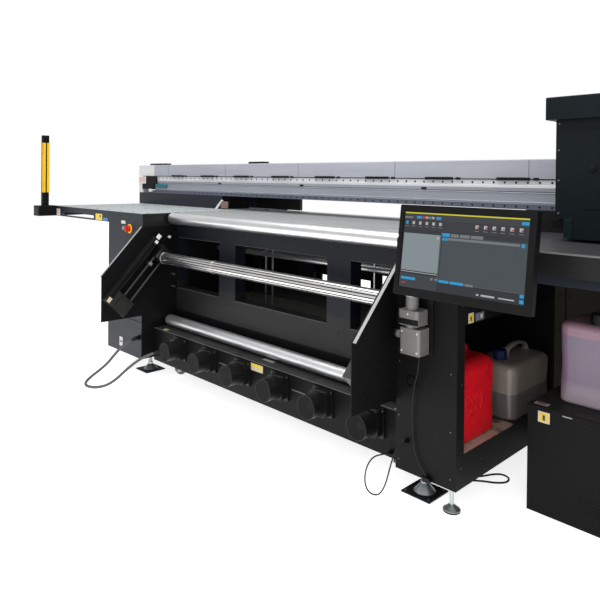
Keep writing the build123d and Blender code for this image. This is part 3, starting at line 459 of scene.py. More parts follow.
class Paints:
    """Every finish of the machine, made once."""

    def __init__(self) -> None:
        """Make the materials."""
        navy, ink_black = (0.014, 0.018, 0.027), (0.0045, 0.0045, 0.005)
        finishes = (
            PowderCoat("navy_powder", navy, 0.46), PowderCoat("black_powder", ink_black, 0.5),
            PowderCoat("deep_powder", (0.004, 0.004, 0.005), 0.6),
            PowderCoat("base_powder", (0.006, 0.006, 0.0065), 0.5),
            PowderCoat("slate_powder", (0.0055, 0.0090, 0.0115), 0.46, 0.05),
            PowderCoat("olive_powder", (0.046, 0.041, 0.031), 0.6),
            PowderCoat("silver_enamel", (0.34, 0.34, 0.34), 0.35),
            PowderCoat("shelf_grey", (0.13, 0.135, 0.12), 0.4),
            PowderCoat("green_panel", (0.006, 0.016, 0.014), 0.4),
            PowderCoat("white_enamel", (0.75, 0.75, 0.73), 0.4),
            PowderCoat("brown_enamel", (0.22, 0.14, 0.12), 0.5),
            TablePaint("table_paint", (0.38, 0.41, 0.42), navy, 1.0575, 1.0165),
            TablePaint("right_table_paint", (0.036, 0.036, 0.038), ink_black, 1.0575, 1.0165),
            TwoTone("window_paint", (0.011, 0.011, 0.012), (0.0040, 0.0055, 0.0100), Axis.Z, 0.60),
            TwoTone("cover_paint", (0.36, 0.37, 0.42), (0.62, 0.62, 0.62), Axis.X, 2.16, True),
            TwoTone("beam_paint", (0.27, 0.29, 0.33), navy, Axis.X, 2.3452, True),
            TwoTone("rail_paint", (0.10, 0.11, 0.15), (0.58, 0.59, 0.62), Axis.Z, 1.21),
            TwoTone("pedestal_paint", navy, ink_black, Axis.X, -1.1915),
            # painted shade: beyond the limit, on the left cabinet's inner side, the navy turns near black
            TwoTone("cabinet_paint", navy, ink_black, Axis.X, -1.0158),
            TwoTone("post_paint", (0.20, 0.19, 0.185), ink_black, Axis.Y, -0.6463, False, (0.35, 0.0), 0.3),
            TwoTone("foot_paint", (0.010, 0.012, 0.014), (0.55, 0.58, 0.60), Axis.Z, 0.0066, False,
                    (0.0, 1.0), 0.3),
            BrushedMetal("rail_metal", (0.80, 0.81, 0.85), 0.38),
            BrushedMetal("zinc", (0.55, 0.58, 0.60), 0.34, Axis.Z),
            BrushedMetal("dull_screw", (0.16, 0.16, 0.17), 0.5),
            BrushedMetal("shaft_metal", (0.78, 0.77, 0.76), 0.26),
            BrushedMetal("bed_metal", (0.50, 0.50, 0.52), 0.45),
            BrushedMetal("guide_metal", (0.07, 0.068, 0.066), 0.38, Axis.Z),
            TurnedMetal("roller_metal", (0.93, 0.94, 0.97)),
            TurnedMetal("tension_metal", (0.95, 0.96, 1.0), 0.34),
            FlutedMetal("fluted_metal", (0.90, 0.89, 0.88)), PerforatedBelt("belt", (0.30, 0.31, 0.31)),
            MouldedPlastic("fan_plastic", (0.007, 0.007, 0.007), 0.36),
            MouldedPlastic("black_plastic", (0.0035, 0.0035, 0.004), 0.34),
            MouldedPlastic("red_plastic", (0.62, 0.030, 0.012), 0.25, 0.3),
            MouldedPlastic("yellow_plastic", (0.80, 0.46, 0.015), 0.35),
            MouldedPlastic("teal_plastic", (0.02, 0.14, 0.19)),
            MouldedPlastic("blue_plastic", (0.006, 0.012, 0.07), 0.35),
            MouldedPlastic("white_plastic", (0.7, 0.7, 0.68)),
            MouldedPlastic("can_red", (0.62, 0.008, 0.016), 0.30, 0.2),
            MilkyCan("can_clear", (0.26, 0.225, 0.195), (0.125, 0.112, 0.105), 0.365,
                     (0.15, 0.135, 0.125), 0.30),
            MilkyCan("can_pink", (0.30, 0.18, 0.23), (0.19, 0.145, 0.21), 0.690, (0.50, 0.42, 0.48), 0.51),
            Rubber("tread", (0.16, 0.16, 0.17)), Rubber("power_jacket", (0.10, 0.10, 0.105), 0.36),
            Rubber("thin_jacket", (0.010, 0.010, 0.011), 0.4), PrintedCard("label_print"),
            PrintedCard("screen_glow", 0.8), StainedPaper("tray_liner", (0.50, 0.36, 0.29)))
        self.made = {finish.name: finish.material() for finish in finishes}

    def __getitem__(self, name: str) -> bpy.types.Material:
        """Return the material of that name."""
        return self.made[name]


# --- surfaces -----------------------------------------------------------------------------
@dataclass
class Surface:
    """Points and faces as arrays, with a colour to each point on printed pieces."""

    points: np.ndarray
    faces: list = field(default_factory=list)
    tint: np.ndarray | None = None

    def flipped(self) -> "Surface":
        """Return the surface with its faces turned round."""
        return Surface(self.points, [rows[:, ::-1] for rows in self.faces], self.tint)

    def outward(self) -> "Surface":
        """Return a closed surface with its faces outwards.

        The volume is a sixth of the sum, over the corners of each face seen as a fan of triangles,
        of the triple product of their places.
        """
        volume = 0.0
        middle = self.points.mean(0)
        for rows in self.faces:
            corners = self.points[rows] - middle
            first = corners[:, :1]
            volume += np.einsum("nij,nij->", first * np.ones_like(corners[:, 1:-1]),
                                np.cross(corners[:, 1:-1], corners[:, 2:]))
        return self if volume > 0 else self.flipped()

    def mapped(self, axes: np.ndarray, origin: tuple = (0.0, 0.0, 0.0)) -> "Surface":
        """Return the surface with its own axes laid along the rows of a 3 by 3 array."""
        placed = Surface(self.points @ np.asarray(axes, float) + np.asarray(origin), self.faces, self.tint)
        return placed if np.linalg.det(np.asarray(axes, float)) > 0 else placed.flipped()

    def mirrored(self, axis: Axis) -> "Surface":
        """Return the surface mirrored through the middle of the machine."""
        scale = np.ones(3)
        scale[axis.value] = -1.0
        return Surface(self.points * scale, [rows[:, ::-1] for rows in self.faces], self.tint)

    def doubled(self, axis: Axis) -> "Surface":
        """Return the surface together with its mirror image."""
        return joined(self, self.mirrored(axis))

    def mesh(self, name: str) -> bpy.types.Mesh:
        """Return a Blender mesh of the surface."""
        made = bpy.data.meshes.new(name)
        loops = np.concatenate([rows.ravel() for rows in self.faces]).astype(np.int32)
        totals = np.concatenate([np.full(len(rows), rows.shape[1]) for rows in self.faces])
        starts = np.concatenate([[0], np.cumsum(totals)[:-1]]).astype(np.int32)
        made.vertices.add(len(self.points))
        made.loops.add(len(loops))
        made.polygons.add(len(totals))
        made.vertices.foreach_set("co", self.points.astype(np.float32).ravel())
        made.loops.foreach_set("vertex_index", loops)
        made.polygons.foreach_set("loop_start", starts)
        if self.tint is not None:
            colours = made.color_attributes.new("Tint", "FLOAT_COLOR", "POINT")
            colours.data.foreach_set("color", self.tint.astype(np.float32).ravel())
        made.update(calc_edges=True)
        made.validate()
        return made


def joined(*surfaces: Surface) -> Surface:
    """Return one surface that holds several."""
    offsets = np.cumsum([0, *[len(one.points) for one in surfaces[:-1]]])
    faces = [rows + offset for one, offset in zip(surfaces, offsets) for rows in one.faces]
    tinted = all(one.tint is not None for one in surfaces)
    tint = np.concatenate([one.tint for one in surfaces]) if tinted else None
    return Surface(np.concatenate([one.points for one in surfaces]), faces, tint)


def scattered(template: Surface, places: list | np.ndarray) -> Surface:
    """Return copies of a small surface at many places."""
    places = np.asarray(places, float).reshape(-1, 3)
    count = len(template.points)
    points = (places[:, None, :] + template.points[None]).reshape(-1, 3)
    offsets = (np.arange(len(places)) * count)[:, None, None]
    faces = [(rows[None] + offsets).reshape(-1, rows.shape[1]) for rows in template.faces]
    tint = None if template.tint is None else np.tile(template.tint, (len(places), 1))
    return Surface(points, faces, tint)


def grid(points: np.ndarray, wrap: bool = True, capped: bool = True, ring: bool = False) -> Surface:
    """Return the surface through a grid of points.

    Args:
        points: one row for each step along, one column for each step round.
        wrap: joins the last column to the first.
        capped: closes the first and last rows.
        ring: joins the last row to the first.
    """
    rows, columns = points.shape[:2]
    index = np.arange(rows * columns).reshape(rows, columns)
    net = np.concatenate([index, index[:, :1]], axis=1) if wrap else index
    net = np.concatenate([net, net[:1]], axis=0) if ring else net
    quads = np.stack([net[:-1, :-1], net[:-1, 1:], net[1:, 1:], net[1:, :-1]], -1).reshape(-1, 4)
    faces = [quads, index[:1, ::-1], index[-1:]] if capped and not ring else [quads]
    return Surface(points.reshape(-1, 3), faces)


AXES = {Axis.X: np.array([[0, 1, 0], [0, 0, 1], [1, 0, 0]], float),
        Axis.Y: np.array([[0, 0, 1], [1, 0, 0], [0, 1, 0]], float), Axis.Z: np.eye(3)}


def lathe(profile: list, axis: Axis, at: tuple, segments: int = 32, ring: bool = False, knurl: float = 0.0,
          teeth: int = 0) -> Surface:
    """Return a turned shape.

    At angle a the point is (r cos a, r sin a, h), where r and h come from the profile and r is
    raised by knurl times the cosine of teeth times a.

    Args:
        profile: pairs of distance along the axis and radius.
        axis: the axis it is turned about.
        at: the place of its origin.
        segments: steps round.
        ring: joins the profile's ends, as in a hoop.
        knurl: depth of the grooves along it, as a share of the radius.
        teeth: number of grooves.
    """
    height, radius = np.array(profile, float).T
    angle = np.linspace(0.0, 2 * np.pi, segments, endpoint=False)
    radius = radius[:, None] * (1.0 + knurl * np.cos(teeth * angle)[None])
    points = np.stack([radius * np.cos(angle), radius * np.sin(angle), height[:, None] * np.ones_like(angle)],
                      -1)
    return grid(points, ring=ring).outward().mapped(AXES[axis], at)


def hoop(axis: Axis, at: tuple, radius: float, wire: float, segments: int = 32) -> Surface:
    """Return a ring of round wire: the wire's own circle turned about the axis."""
    turn = np.linspace(0.0, 2 * np.pi, 8, endpoint=False)
    profile = np.stack([wire * np.sin(turn), radius + wire * np.cos(turn)], -1)
    return lathe(profile, axis, at, segments, ring=True)


def stud(axis: Axis, radius: float, height: float) -> Surface:
    """Return a low domed screw head that stands up along the axis."""
    profile = [(0.0, radius), (height * 0.55, radius), (height, radius * 0.62)]
    return lathe(profile, axis, (0, 0, 0), 10)


def front_stud(radius: float, height: float) -> Surface:
    """Return a screw head that faces the front."""
    return stud(Axis.Y, radius, height).mirrored(Axis.Y)


def boxes(limits: list) -> Surface:
    """Return boxes, each given as x, x, y, y, z, z limits."""
    edges = np.array(limits, float).reshape(-1, 3, 2)
    edges.sort(axis=2)
    pick = np.array([(x, y, z) for z in (0, 1) for y in (0, 1) for x in (0, 1)])
    points = edges[:, np.arange(3)[None], pick].reshape(-1, 3)
    corners = np.array([[0, 2, 3, 1], [4, 5, 7, 6], [0, 1, 5, 4], [2, 6, 7, 3], [0, 4, 6, 2], [1, 3, 7, 5]])
    offsets = (np.arange(len(edges)) * 8)[:, None, None]
    return Surface(points, [(corners[None] + offsets).reshape(-1, 4)])


def prism(outline: list, low: float, high: float, axis: Axis) -> Surface:
    """Return a flat outline carried from one height to another along an axis."""
    flat = np.array(outline, float)
    height = np.array([low, high])[:, None] * np.ones(len(flat))
    points = np.stack([np.broadcast_to(flat[:, 0], height.shape), np.broadcast_to(flat[:, 1], height.shape),
                       height], -1)
    return grid(points).outward().mapped(AXES[axis])


def swept(path: np.ndarray, normal: tuple, wide: float, thick: float, segments: int = 16) -> Surface:
    """Return an oval bar along a path that lies in a plane.

    Round each point the oval is wide times the cosine along the plane's normal and thick times the
    sine along the path's own normal in the plane.
    """
    path = np.asarray(path, float)
    along = np.gradient(path, axis=0)
    along /= np.linalg.norm(along, axis=1)[:, None]
    side = np.asarray(normal, float)
    up = np.cross(along, side)
    turn = np.linspace(0.0, 2 * np.pi, segments, endpoint=False)
    points = (path[:, None] + wide * np.cos(turn)[None, :, None] * side
              + thick * np.sin(turn)[None, :, None] * up[:, None])
    return grid(points).outward()


def rounded_section(half_x: np.ndarray, half_y: np.ndarray, corner: np.ndarray, steps: int = 9) -> np.ndarray:
    """Return rounded rectangles, one row for each set of half widths.

    Each corner is a quarter circle: its centre lies one radius inside both sides.
    """
    quarter = np.linspace(0.0, np.pi / 2, steps)
    turn = np.concatenate([quarter + quadrant * np.pi / 2 for quadrant in range(4)])
    sign_x = np.repeat([1, -1, -1, 1], steps)
    sign_y = np.repeat([1, 1, -1, -1], steps)
    x = (half_x - corner)[:, None] * sign_x + corner[:, None] * np.cos(turn)
    y = (half_y - corner)[:, None] * sign_y + corner[:, None] * np.sin(turn)
    return np.stack([x, y], -1)


@dataclass(frozen=True)
class CardPlane:
    """A flat place for labels: an origin, the direction of its width, of its height and outwards."""

    origin: tuple
    width: tuple
    height: tuple
    outward: tuple

    def cards(self, items: list, lift: float = 0.0004) -> Surface:
        """Return thin coloured cards.

        Args:
            items: for each card its two limits across, its two limits up, and its colour.
            lift: how far each card stands off the plane; later ones stand a little further off.
        """
        spans = [(u0, u1, v0, v1, 0.0, lift * (1 + 0.25 * step))
                 for step, (u0, u1, v0, v1, _) in enumerate(items)]
        made = boxes(spans).mapped([self.width, self.height, self.outward], self.origin)
        made.tint = np.repeat([tone(item[4]) for item in items], 8, axis=0)
        return made


def facing_front(y: float) -> CardPlane:
    """Return the plane that faces the front at a distance along Y."""
    return CardPlane((0.0, y, 0.0), (1, 0, 0), (0, 0, 1), (0, -1, 0))


def facing_up(y: float, z: float) -> CardPlane:
    """Return the plane that faces up at a height, measured along Y from a place."""
    return CardPlane((0.0, y, z), (1, 0, 0), (0, 1, 0), (0, 0, 1))


BODY_FRONT = -0.640
FRONT = facing_front(BODY_FRONT)
YELLOW, WHITE, INK = (0.80, 0.58, 0.03), (0.62, 0.62, 0.60), (0.02, 0.02, 0.02)
ORANGE, BLUE, CREAM = (0.62, 0.24, 0.08), (0.04, 0.16, 0.42), (0.60, 0.55, 0.34)


def linked(name: str, data: bpy.types.ID) -> bpy.types.Object:
    """Return a new object of the scene that shows a mesh, curve, lamp or camera."""
    made = bpy.data.objects.new(name, data)
    bpy.context.scene.collection.objects.link(made)
    return made


def turned(made: bpy.types.Object, right: np.ndarray, up: np.ndarray, back: np.ndarray, at: tuple) -> None:
    """Set an object's place and the directions of its three axes."""
    axes = np.eye(4)
    axes[:3] = np.column_stack([right, up, back, at])
    made.matrix_world = Matrix(axes.tolist())


class Workshop:
    """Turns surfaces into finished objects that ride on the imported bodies."""

    def __init__(self, paints: Paints) -> None:
        """Keep the finishes and count the pieces."""
        self.paints = paints
        self.count = 0

    def add(self, name: str, surface: Surface, finish: str, slot: str, body: str = MACHINE,
            bevel: float = 0.0, smooth: bool = False) -> bpy.types.Object:
        """Make one piece.

        Args:
            name: the piece's name.
            surface: its shape, in the machine's frame.
            finish: the name of its material.
            slot: not used.
            body: the body that it moves with.
            bevel: width of the rounding on its edges.
            smooth: shades it as a curved surface.

        Returns:
            The finished object.
        """
        made = linked(name, surface.mesh(name))
        made.data.materials.append(self.paints[finish])
        made.data.polygons.foreach_set("use_smooth", np.full(len(made.data.polygons), smooth))
        if bevel:
            rounding = made.modifiers.new("edges", "BEVEL")
            rounding.width = bevel
            rounding.segments = 2
            rounding.limit_method = "ANGLE"
        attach(made, body)
        self.count += 1
        LOG.info("%s rides on %s", name, body)
        return made

    def block(self, name: str, limits: list, finish: str, slot: str, body: str = MACHINE,
              bevel: float = 0.0) -> bpy.types.Object:
        """Make one piece of boxes, given by their limits."""
        return self.add(name, boxes(limits), finish, slot, body, bevel)

    def heads(self, name: str, head: Surface, places: list, finish: str = "dull_screw", slot: str = "zinc",
              body: str = MACHINE) -> bpy.types.Object:
        """Make one piece of copies of a screw head, one at each place."""
        return self.add(name, scattered(head, places), finish, slot, body)

    def labels(self, name: str, surface: Surface, slot: str = "table_paint", body: str = MACHINE) -> None:
        """Make a set of printed labels."""
        self.add(name, surface, "label_print", slot, body)

    def dress(self, finish: str, *nodes: str) -> None:
        """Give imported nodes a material."""
        for node in nodes:
            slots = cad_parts[node].data.materials
            slots.clear()
            slots.append(self.paints[finish])


# --- cords --------------------------------------------------------------------------------
@dataclass
class FreeCord:
    """A cord that hangs between two fittings, as a smooth curve through its route's pull."""

    node: str
    route: list
    diameter: float
    length: float
    finish: str
    slot: str
    sleeve: float = 0.0

    def build(self, shop: Workshop) -> None:
        """Make the cord, with a tapered sleeve at each end where it has them."""
        curve = bpy.data.curves.new(f"{self.node}_jacket", "CURVE")
        curve.dimensions = "3D"
        curve.bevel_depth = self.diameter / 2
        curve.bevel_resolution = 4
        curve.resolution_u = 12
        curve.use_fill_caps = True
        spline = curve.splines.new("NURBS")
        points = np.array(self.route, float) * MILLIMETRE
        spline.points.add(len(points) - 1)
        spline.points.foreach_set("co", np.c_[points, np.ones(len(points))].ravel())
        spline.order_u = 3
        spline.use_endpoint_u = True
        piece = linked(f"{self.node}_jacket", curve)
        curve.materials.append(shop.paints[self.finish])
        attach(piece, MACHINE)
        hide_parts(self.node)
        sleeves = self.sleeves(points, shop) if self.sleeve else []
        LOG.info("%s is %.3f m long", self.node, self.length)

    def sleeves(self, points: np.ndarray, shop: Workshop) -> list:
        """Return a ribbed strain relief at each end.

        Its radius falls in a straight line along the cord, with five shallow waves on it.
        """
        made = []
        ends = ((points[0], points[1]), (points[-1], points[-2]))
        for index, (start, towards) in enumerate(ends, start=1):
            step = np.linspace(0.0, 1.0, 21)
            radius = self.diameter / 2 * (1.55 - 0.5 * step) + 0.0006 * np.cos(step * 10 * np.pi)
            away = (towards - start) / np.linalg.norm(towards - start)
            side = np.cross(away, (1.0, 0.0, 0.0))
            side /= np.linalg.norm(side)
            shape = lathe(np.stack([step * self.sleeve, radius], -1), Axis.Z, (0, 0, 0), 24)
            shape = shape.mapped([side, np.cross(away, side), away], tuple(start))
            made.append(shop.add(f"{self.node}_sleeve_{index}", shape, "thin_jacket", self.slot, smooth=True))
        return made


CORDS = (
    FreeCord("power_cable", [(-1040, -668, 253), (-1042, -726, 236), (-1062, -774, 194), (-1088, -800, 150),
                             (-1118, -820, 106), (-1158, -852, 60), (-1168, -912, 24), (-1130, -966, 9),
                             (-1066, -984, 9), (-1006, -956, 9), (-976, -896, 16), (-982, -828, 40),
                             (-992, -766, 74), (-984, -712, 110), (-956, -672, 142), (-924, -632, 166),
                             (-906, -580, 178)], 0.017, 1.011, "power_jacket", "cable_jacket", 0.032),
    FreeCord("fan_cable", [(1070, -662, 246), (1066, -694, 234), (1050, -706, 192), (1030, -704, 126),
                           (1012, -704, 64), (984, -706, 16), (944, -704, 4), (902, -688, 6),
                           (870, -662, 30), (864, -640, 72), (880, -620, 110), (908, -600, 124),
                           (925, -572, 125)], 0.006, 0.557, "thin_jacket", "thin_cable"),
    FreeCord("monitor_cable", [(1158, -690, 620), (1158, -690, 566), (1130, -672, 510), (1110, -658, 448),
                               (1102, -651, 376), (1104, -650, 300), (1112, -650, 228), (1136, -650, 176),
                               (1162, -650, 152), (1170, -650, 138)], 0.006, 0.513, "thin_jacket",
                                   "thin_cable"),
    FreeCord("floor_cable", [(1090, -330, 96), (1092, -322, 58), (1112, -302, 22), (1146, -272, 5),
                             (1180, -236, 5), (1200, -186, 5), (1232, -150, 5), (1272, -162, 5),
                             (1282, -206, 5), (1250, -246, 5), (1204, -270, 5), (1164, -304, 5),
                             (1140, -344, 20), (1130, -366, 56), (1130, -370, 96)], 0.008, 0.642,
             "thin_jacket", "thin_cable"),
)


# --- sub-assemblies -----------------------------------------------------------------------
@dataclass
class BeltAndRollers:
    """The transport belt, its rollers and the roll shafts."""

    guide: tuple = (0.435, 1.023)
    tension: tuple = (0.450, 0.352)
    shaft: tuple = (0.520, 0.770)

    def build(self, shop: Workshop) -> None:
        """Dress the rollers and add their end collars and bearings."""
        shop.dress("belt", "transport_belt")
        shop.dress("bed_metal", "vacuum_bed", "print_head_block")
        shop.dress("roller_metal", "belt_drive_roller", "front_guide_roller", "rear_guide_roller")
        shop.dress("tension_metal", "front_tension_roller", "rear_tension_roller")
        shop.dress("fluted_metal", "front_air_shaft", "rear_air_shaft")
        for end, sign in (("front", -1), ("rear", 1)):
            self.bearings(shop, end, sign)
            self.collars(shop, end, sign)

    def bearings(self, shop: Workshop, end: str, sign: int) -> None:
        """Add the flanged bearings on the side plates and the tag round the tension roller."""
        shapes = []
        for y, z in (self.guide, self.tension):
            for side in (-1, 1):
                lips = [(0.0, 0.030), (0.004, 0.030), (0.005, 0.022), (0.011, 0.020), (0.011, 0.0135),
                        (0.0, 0.0135)]
                profile = [(-side * along, radius) for along, radius in lips]
                shapes.append(lathe(profile, Axis.X, (side * 1.0098, sign * y, z), 28, ring=True))
        tag = lathe([(0.0, 0.0340), (0.0, 0.0348), (0.020, 0.0348), (0.020, 0.0340)], Axis.X,
                    (0.945, sign * self.tension[0], self.tension[1]), 40, ring=True)
        shop.add(f"{end}_roller_tag", tag, "yellow_plastic", "roller_steel", f"{end}_tension_roller")
        shop.add(f"{end}_roller_bearings", joined(*shapes), "black_plastic", "black_paint")

    def collars(self, shop: Workshop, end: str, sign: int) -> None:
        """Add the chamfered collars and the ring that turn with the air shaft."""
        y, z = sign * self.shaft[0], self.shaft[1]
        shapes = []
        for side in (-1, 1):
            profile = [(0.0, 0.0375), (side * 0.002, 0.0385), (side * 0.012, 0.0385), (side * 0.0135, 0.037),
                       (side * 0.0135, 0.0160), (0.0, 0.0160)]
            shapes.append(lathe(profile, Axis.X, (side * 0.9288, y, z), 40, ring=True))
        shapes.append(hoop(Axis.X, (-0.393, y, z), 0.0386, 0.0012, 48))
        shop.add(f"{end}_shaft_collars", joined(*shapes), "shaft_metal", "shaft_aluminium",
                 f"{end}_air_shaft")


@dataclass
class Gantry:
    """Beam across the belt: cover, rails with their screws, clips and end fittings."""

    screw_pitch: float = 0.0585
    clip_pitch: float = 0.4166
    joint_pitch: float = 0.785
    rail_end: float = 2.28
    screw_rows: tuple = (1.288, 1.173)
    drive: tuple = (0.119, 0.132)

    def build(self, shop: Workshop) -> None:
        """Dress the beam and add what is screwed to it."""
        shop.dress("cover_paint", "gantry_cover")
        shop.dress("beam_paint", "gantry_beam")
        shop.dress("rail_paint", "gantry_rails")
        shop.dress("pedestal_paint", "gantry_pedestals")
        self.screws(shop)
        self.clips(shop)
        self.strips(shop)
        self.left_end(shop)

    def screws(self, shop: Workshop) -> None:
        """Add a screw every pitch along the upper and the lower rail."""
        along = 0.671 + np.arange(-50, 27) * self.screw_pitch
        places = np.array([(x, 0.133, z) for z in self.screw_rows for x in along])
        shop.heads("rail_screws", front_stud(0.0056, 0.0012), places, "black_plastic", "black_paint")

    def clips(self, shop: Workshop) -> None:
        """Add the cable clips in the gap under the cover, and the two catches on top of it."""
        limits = []
        for x in -1.042 + np.arange(-2, 8) * self.clip_pitch:
            limits += [(x, x + 0.168, 0.1215, 0.1315, 1.299, 1.313),
                       (x + 0.186, x + 0.212, 0.1255, 0.1315, 1.300, 1.312)]
        limits += [(x, x + 0.034, 0.1295, 0.1335, 1.2465, 1.2575)
                   for x in (-2.15, -1.239, -0.353, 0.596, 1.51)]
        shop.block("cover_clips", limits, "black_plastic", "black_paint", bevel=0.0008)
        catches = [(x - w, x + w, 0.155, 0.215, 1.398, 1.414)
                   for x, w in ((-0.8325, 0.0815), (-2.149, 0.126))]
        shop.block("cover_catches", catches, "black_powder", "black_paint", bevel=0.004)

    def strips(self, shop: Workshop) -> None:
        """Add the joints of the cover, the bright strip and the ribs between the rails."""
        end = self.rail_end
        shop.block("cover_joint", [(-2.345, 2.345, 0.1290, 0.1335, 1.3020, 1.3065)], "black_powder",
                   "black_paint")
        seams = [(x, x + 0.0018, 0.1289, 0.1302, 1.307, 1.398) for x in -1.938
                 + np.arange(6) * self.joint_pitch]
        shop.block("cover_seams", seams, "shelf_grey", "cover_paint")
        ribs = [(-end, end, 0.1330, 0.1368, z, z + 0.0018) for z in (1.1935, 1.2385)]
        ribs += [(-end, end, 0.1310, 0.1335, 1.2630, 1.2760)]
        shop.block("beam_ribs", ribs, "rail_metal", "rail_aluminium", bevel=0.0006)
        shade = boxes([(-end, end, 0.1345, 0.1362, 1.1840, 1.1875),
                       (-end, end, 0.1320, 0.1332, 1.2464, 1.2610)])
        shop.add("beam_shades", shade, "beam_paint", "navy_paint")

    def left_end(self, shop: Workshop) -> None:
        """Add the drive housing at the left end, its label and the bracket by the belt."""
        back = self.drive
        shop.block("drive_housing", [(-2.283, -2.110, *back, 1.236, 1.300),
                                     (-2.344, -2.150, *back, 1.190, 1.236)], "black_powder", "black_paint",
                   bevel=0.003)
        shop.block("drive_belt_guard", [(-2.120, -1.955, *back, 1.206, 1.234)], "teal_plastic", "black_paint",
                   bevel=0.003)
        shop.block("end_sensor", [(-2.235, -2.185, *back, 1.168, 1.198),
                                  (-2.180, -2.140, 0.120, 0.132, 1.180, 1.190)], "white_plastic",
                   "table_paint", bevel=0.002)
        shop.block("drive_plate", [(-2.412, -2.287, 0.122, 0.132, 1.238, 1.299)], "white_enamel",
                   "table_paint", bevel=0.001)
        lines = [(-2.398, -2.301, z, z + 0.006, ORANGE) for z in (1.262, 1.280)]
        shop.labels("drive_label", facing_front(0.122).cards([(-2.405, -2.294, 1.243, 1.294, WHITE), *lines]))
        slope = [(1.0602, -1.262), (1.0602, -1.236), (1.124, -1.170), (1.130, -1.182)]
        shop.add("belt_edge_bracket", prism(slope, 0.116, 0.128, Axis.Y), "white_enamel", "table_paint",
                 bevel=0.001)
        shop.block("edge_sensor", [(-1.192, -1.112, 0.119, 0.133, 1.066, 1.118)], "brown_enamel",
                   "olive_paint", bevel=0.004)


@dataclass
class Carriage:
    """The print carriage's cover, its screws, seams and lower guards."""

    left: float = 1.487
    right: float = 2.237
    front: float = -0.240
    body: str = "carriage"

    def build(self, shop: Workshop) -> None:
        """Dress the cover and add its fittings."""
        shop.dress("slate_powder", "carriage_shell", "carriage_hood")
        face = self.front
        rows = [(x, face, z) for x in (self.left + 0.012, self.right - 0.012)
                for z in (1.17, 1.30, 1.42, 1.525)]
        side = [(self.left, y, z) for y in (-0.225, 0.095) for z in (1.17, 1.34, 1.525)]
        shop.heads("carriage_screws", front_stud(0.004, 0.0016), rows, body=self.body)
        shop.heads("carriage_side_screws", stud(Axis.X, 0.004, 0.0016).mirrored(Axis.X), side, body=self.body)
        panel = boxes([(self.left + 0.034, self.left + 0.066, face - 0.003, -0.05, 1.074, 1.149)])
        shop.add("carriage_lower_panel", panel, "green_panel", "carriage_paint", self.body, bevel=0.001)
        wedge = [(1.107, self.left - 0.030), (1.107, self.left + 0.030), (1.149, self.left + 0.030),
                 (1.142, self.left - 0.018)]
        shop.add("carriage_guard", prism(wedge, -0.215, 0.10, Axis.Y), "black_powder", "black_paint",
                 self.body, bevel=0.001)
        door = [(1.60, 2.15, face - 0.0022, face, 1.19, 1.50)]
        shop.block("carriage_door", door, "slate_powder", "carriage_paint", self.body, bevel=0.0015)
        knobs = [lathe([(0.0, 0.013), (-0.006, 0.013), (-0.009, 0.010)], Axis.Y, (x, face - 0.002, 1.345), 20)
                 for x in (1.63, 2.12)]
        shop.add("carriage_door_locks", joined(*knobs), "black_plastic", "black_paint", self.body)


@dataclass
class SideTables:
    """Tables beside the belt, with the screws in their tops and the labels on their aprons."""

    front: float = BODY_FRONT
    top: float = 1.060

    def build(self, shop: Workshop) -> None:
        """Dress the tables and add their fittings, and a painted highlight on the right table's front edge.
        """
        shop.dress("table_paint", "left_table")
        shop.dress("right_table_paint", "right_table")
        places = np.array([(x, y, self.top) for x in np.arange(-2.28, -1.0, 0.18)
                           for y in (-0.60, -0.30, 0.0, 0.5)])
        right = places * np.array([-1, 1, 1])
        right = right[(np.abs(right[:, 0] - 1.86) > 0.5)]
        shop.heads("table_screws", stud(Axis.Z, 0.008, 0.0012), np.concatenate([places, right]),
                   "black_plastic", "zinc")
        # painted highlight: a pale strip along the front edge of the right table's top, where the edge
        # catches the light
        edge = boxes([(1.012, 2.340, self.front - 0.0010, self.front + 0.004, 1.0545, 1.0604)])
        shop.add("right_table_edge_highlight", edge, "shelf_grey", "table_paint", bevel=0.0004)
        self.hand_slot(shop)
        blank = [(-2.352, -2.285, 0.984, 1.036, WHITE), (-2.346, -2.291, 1.020, 1.026, ORANGE),
                 (-2.346, -2.291, 1.000, 1.006, ORANGE), (-1.672, -1.572, 0.983, 1.030, YELLOW),
                 (-1.610, -1.590, 1.004, 1.020, INK), (-1.556, -1.490, 0.984, 1.006, BLUE)]
        shop.labels("apron_labels", FRONT.cards(blank))
        strip = boxes([(1.300, 2.340, -0.560, -0.556, 0.936, 0.982)])
        shop.add("right_under_strip", strip, "navy_powder", "navy_paint", bevel=0.001)

    def hand_slot(self, shop: Workshop) -> None:
        """Add the raised lip round the hand slot: a bar on a long rounded outline."""
        turn = np.linspace(0.0, np.pi, 14)
        left = np.stack([-2.186 - 0.010 * np.sin(turn), 1.003 + 0.011 * np.cos(turn)], -1)
        right = np.stack([-1.704 + 0.010 * np.sin(turn), 1.003 - 0.011 * np.cos(turn)], -1)
        loop = np.concatenate([left, right])
        inner = np.stack([loop[:, 0], np.full(len(loop), self.front), loop[:, 1]], -1)
        outer = inner + np.array([0.0, -0.003, 0.0])
        flare = (inner - inner.mean(0)) * np.array([1.01, 1.0, 1.30]) + inner.mean(0)
        shape = grid(np.stack([inner, outer, flare], 0), ring=True)
        shop.add("hand_slot_lip", shape.outward(), "navy_powder", "navy_paint", smooth=True)


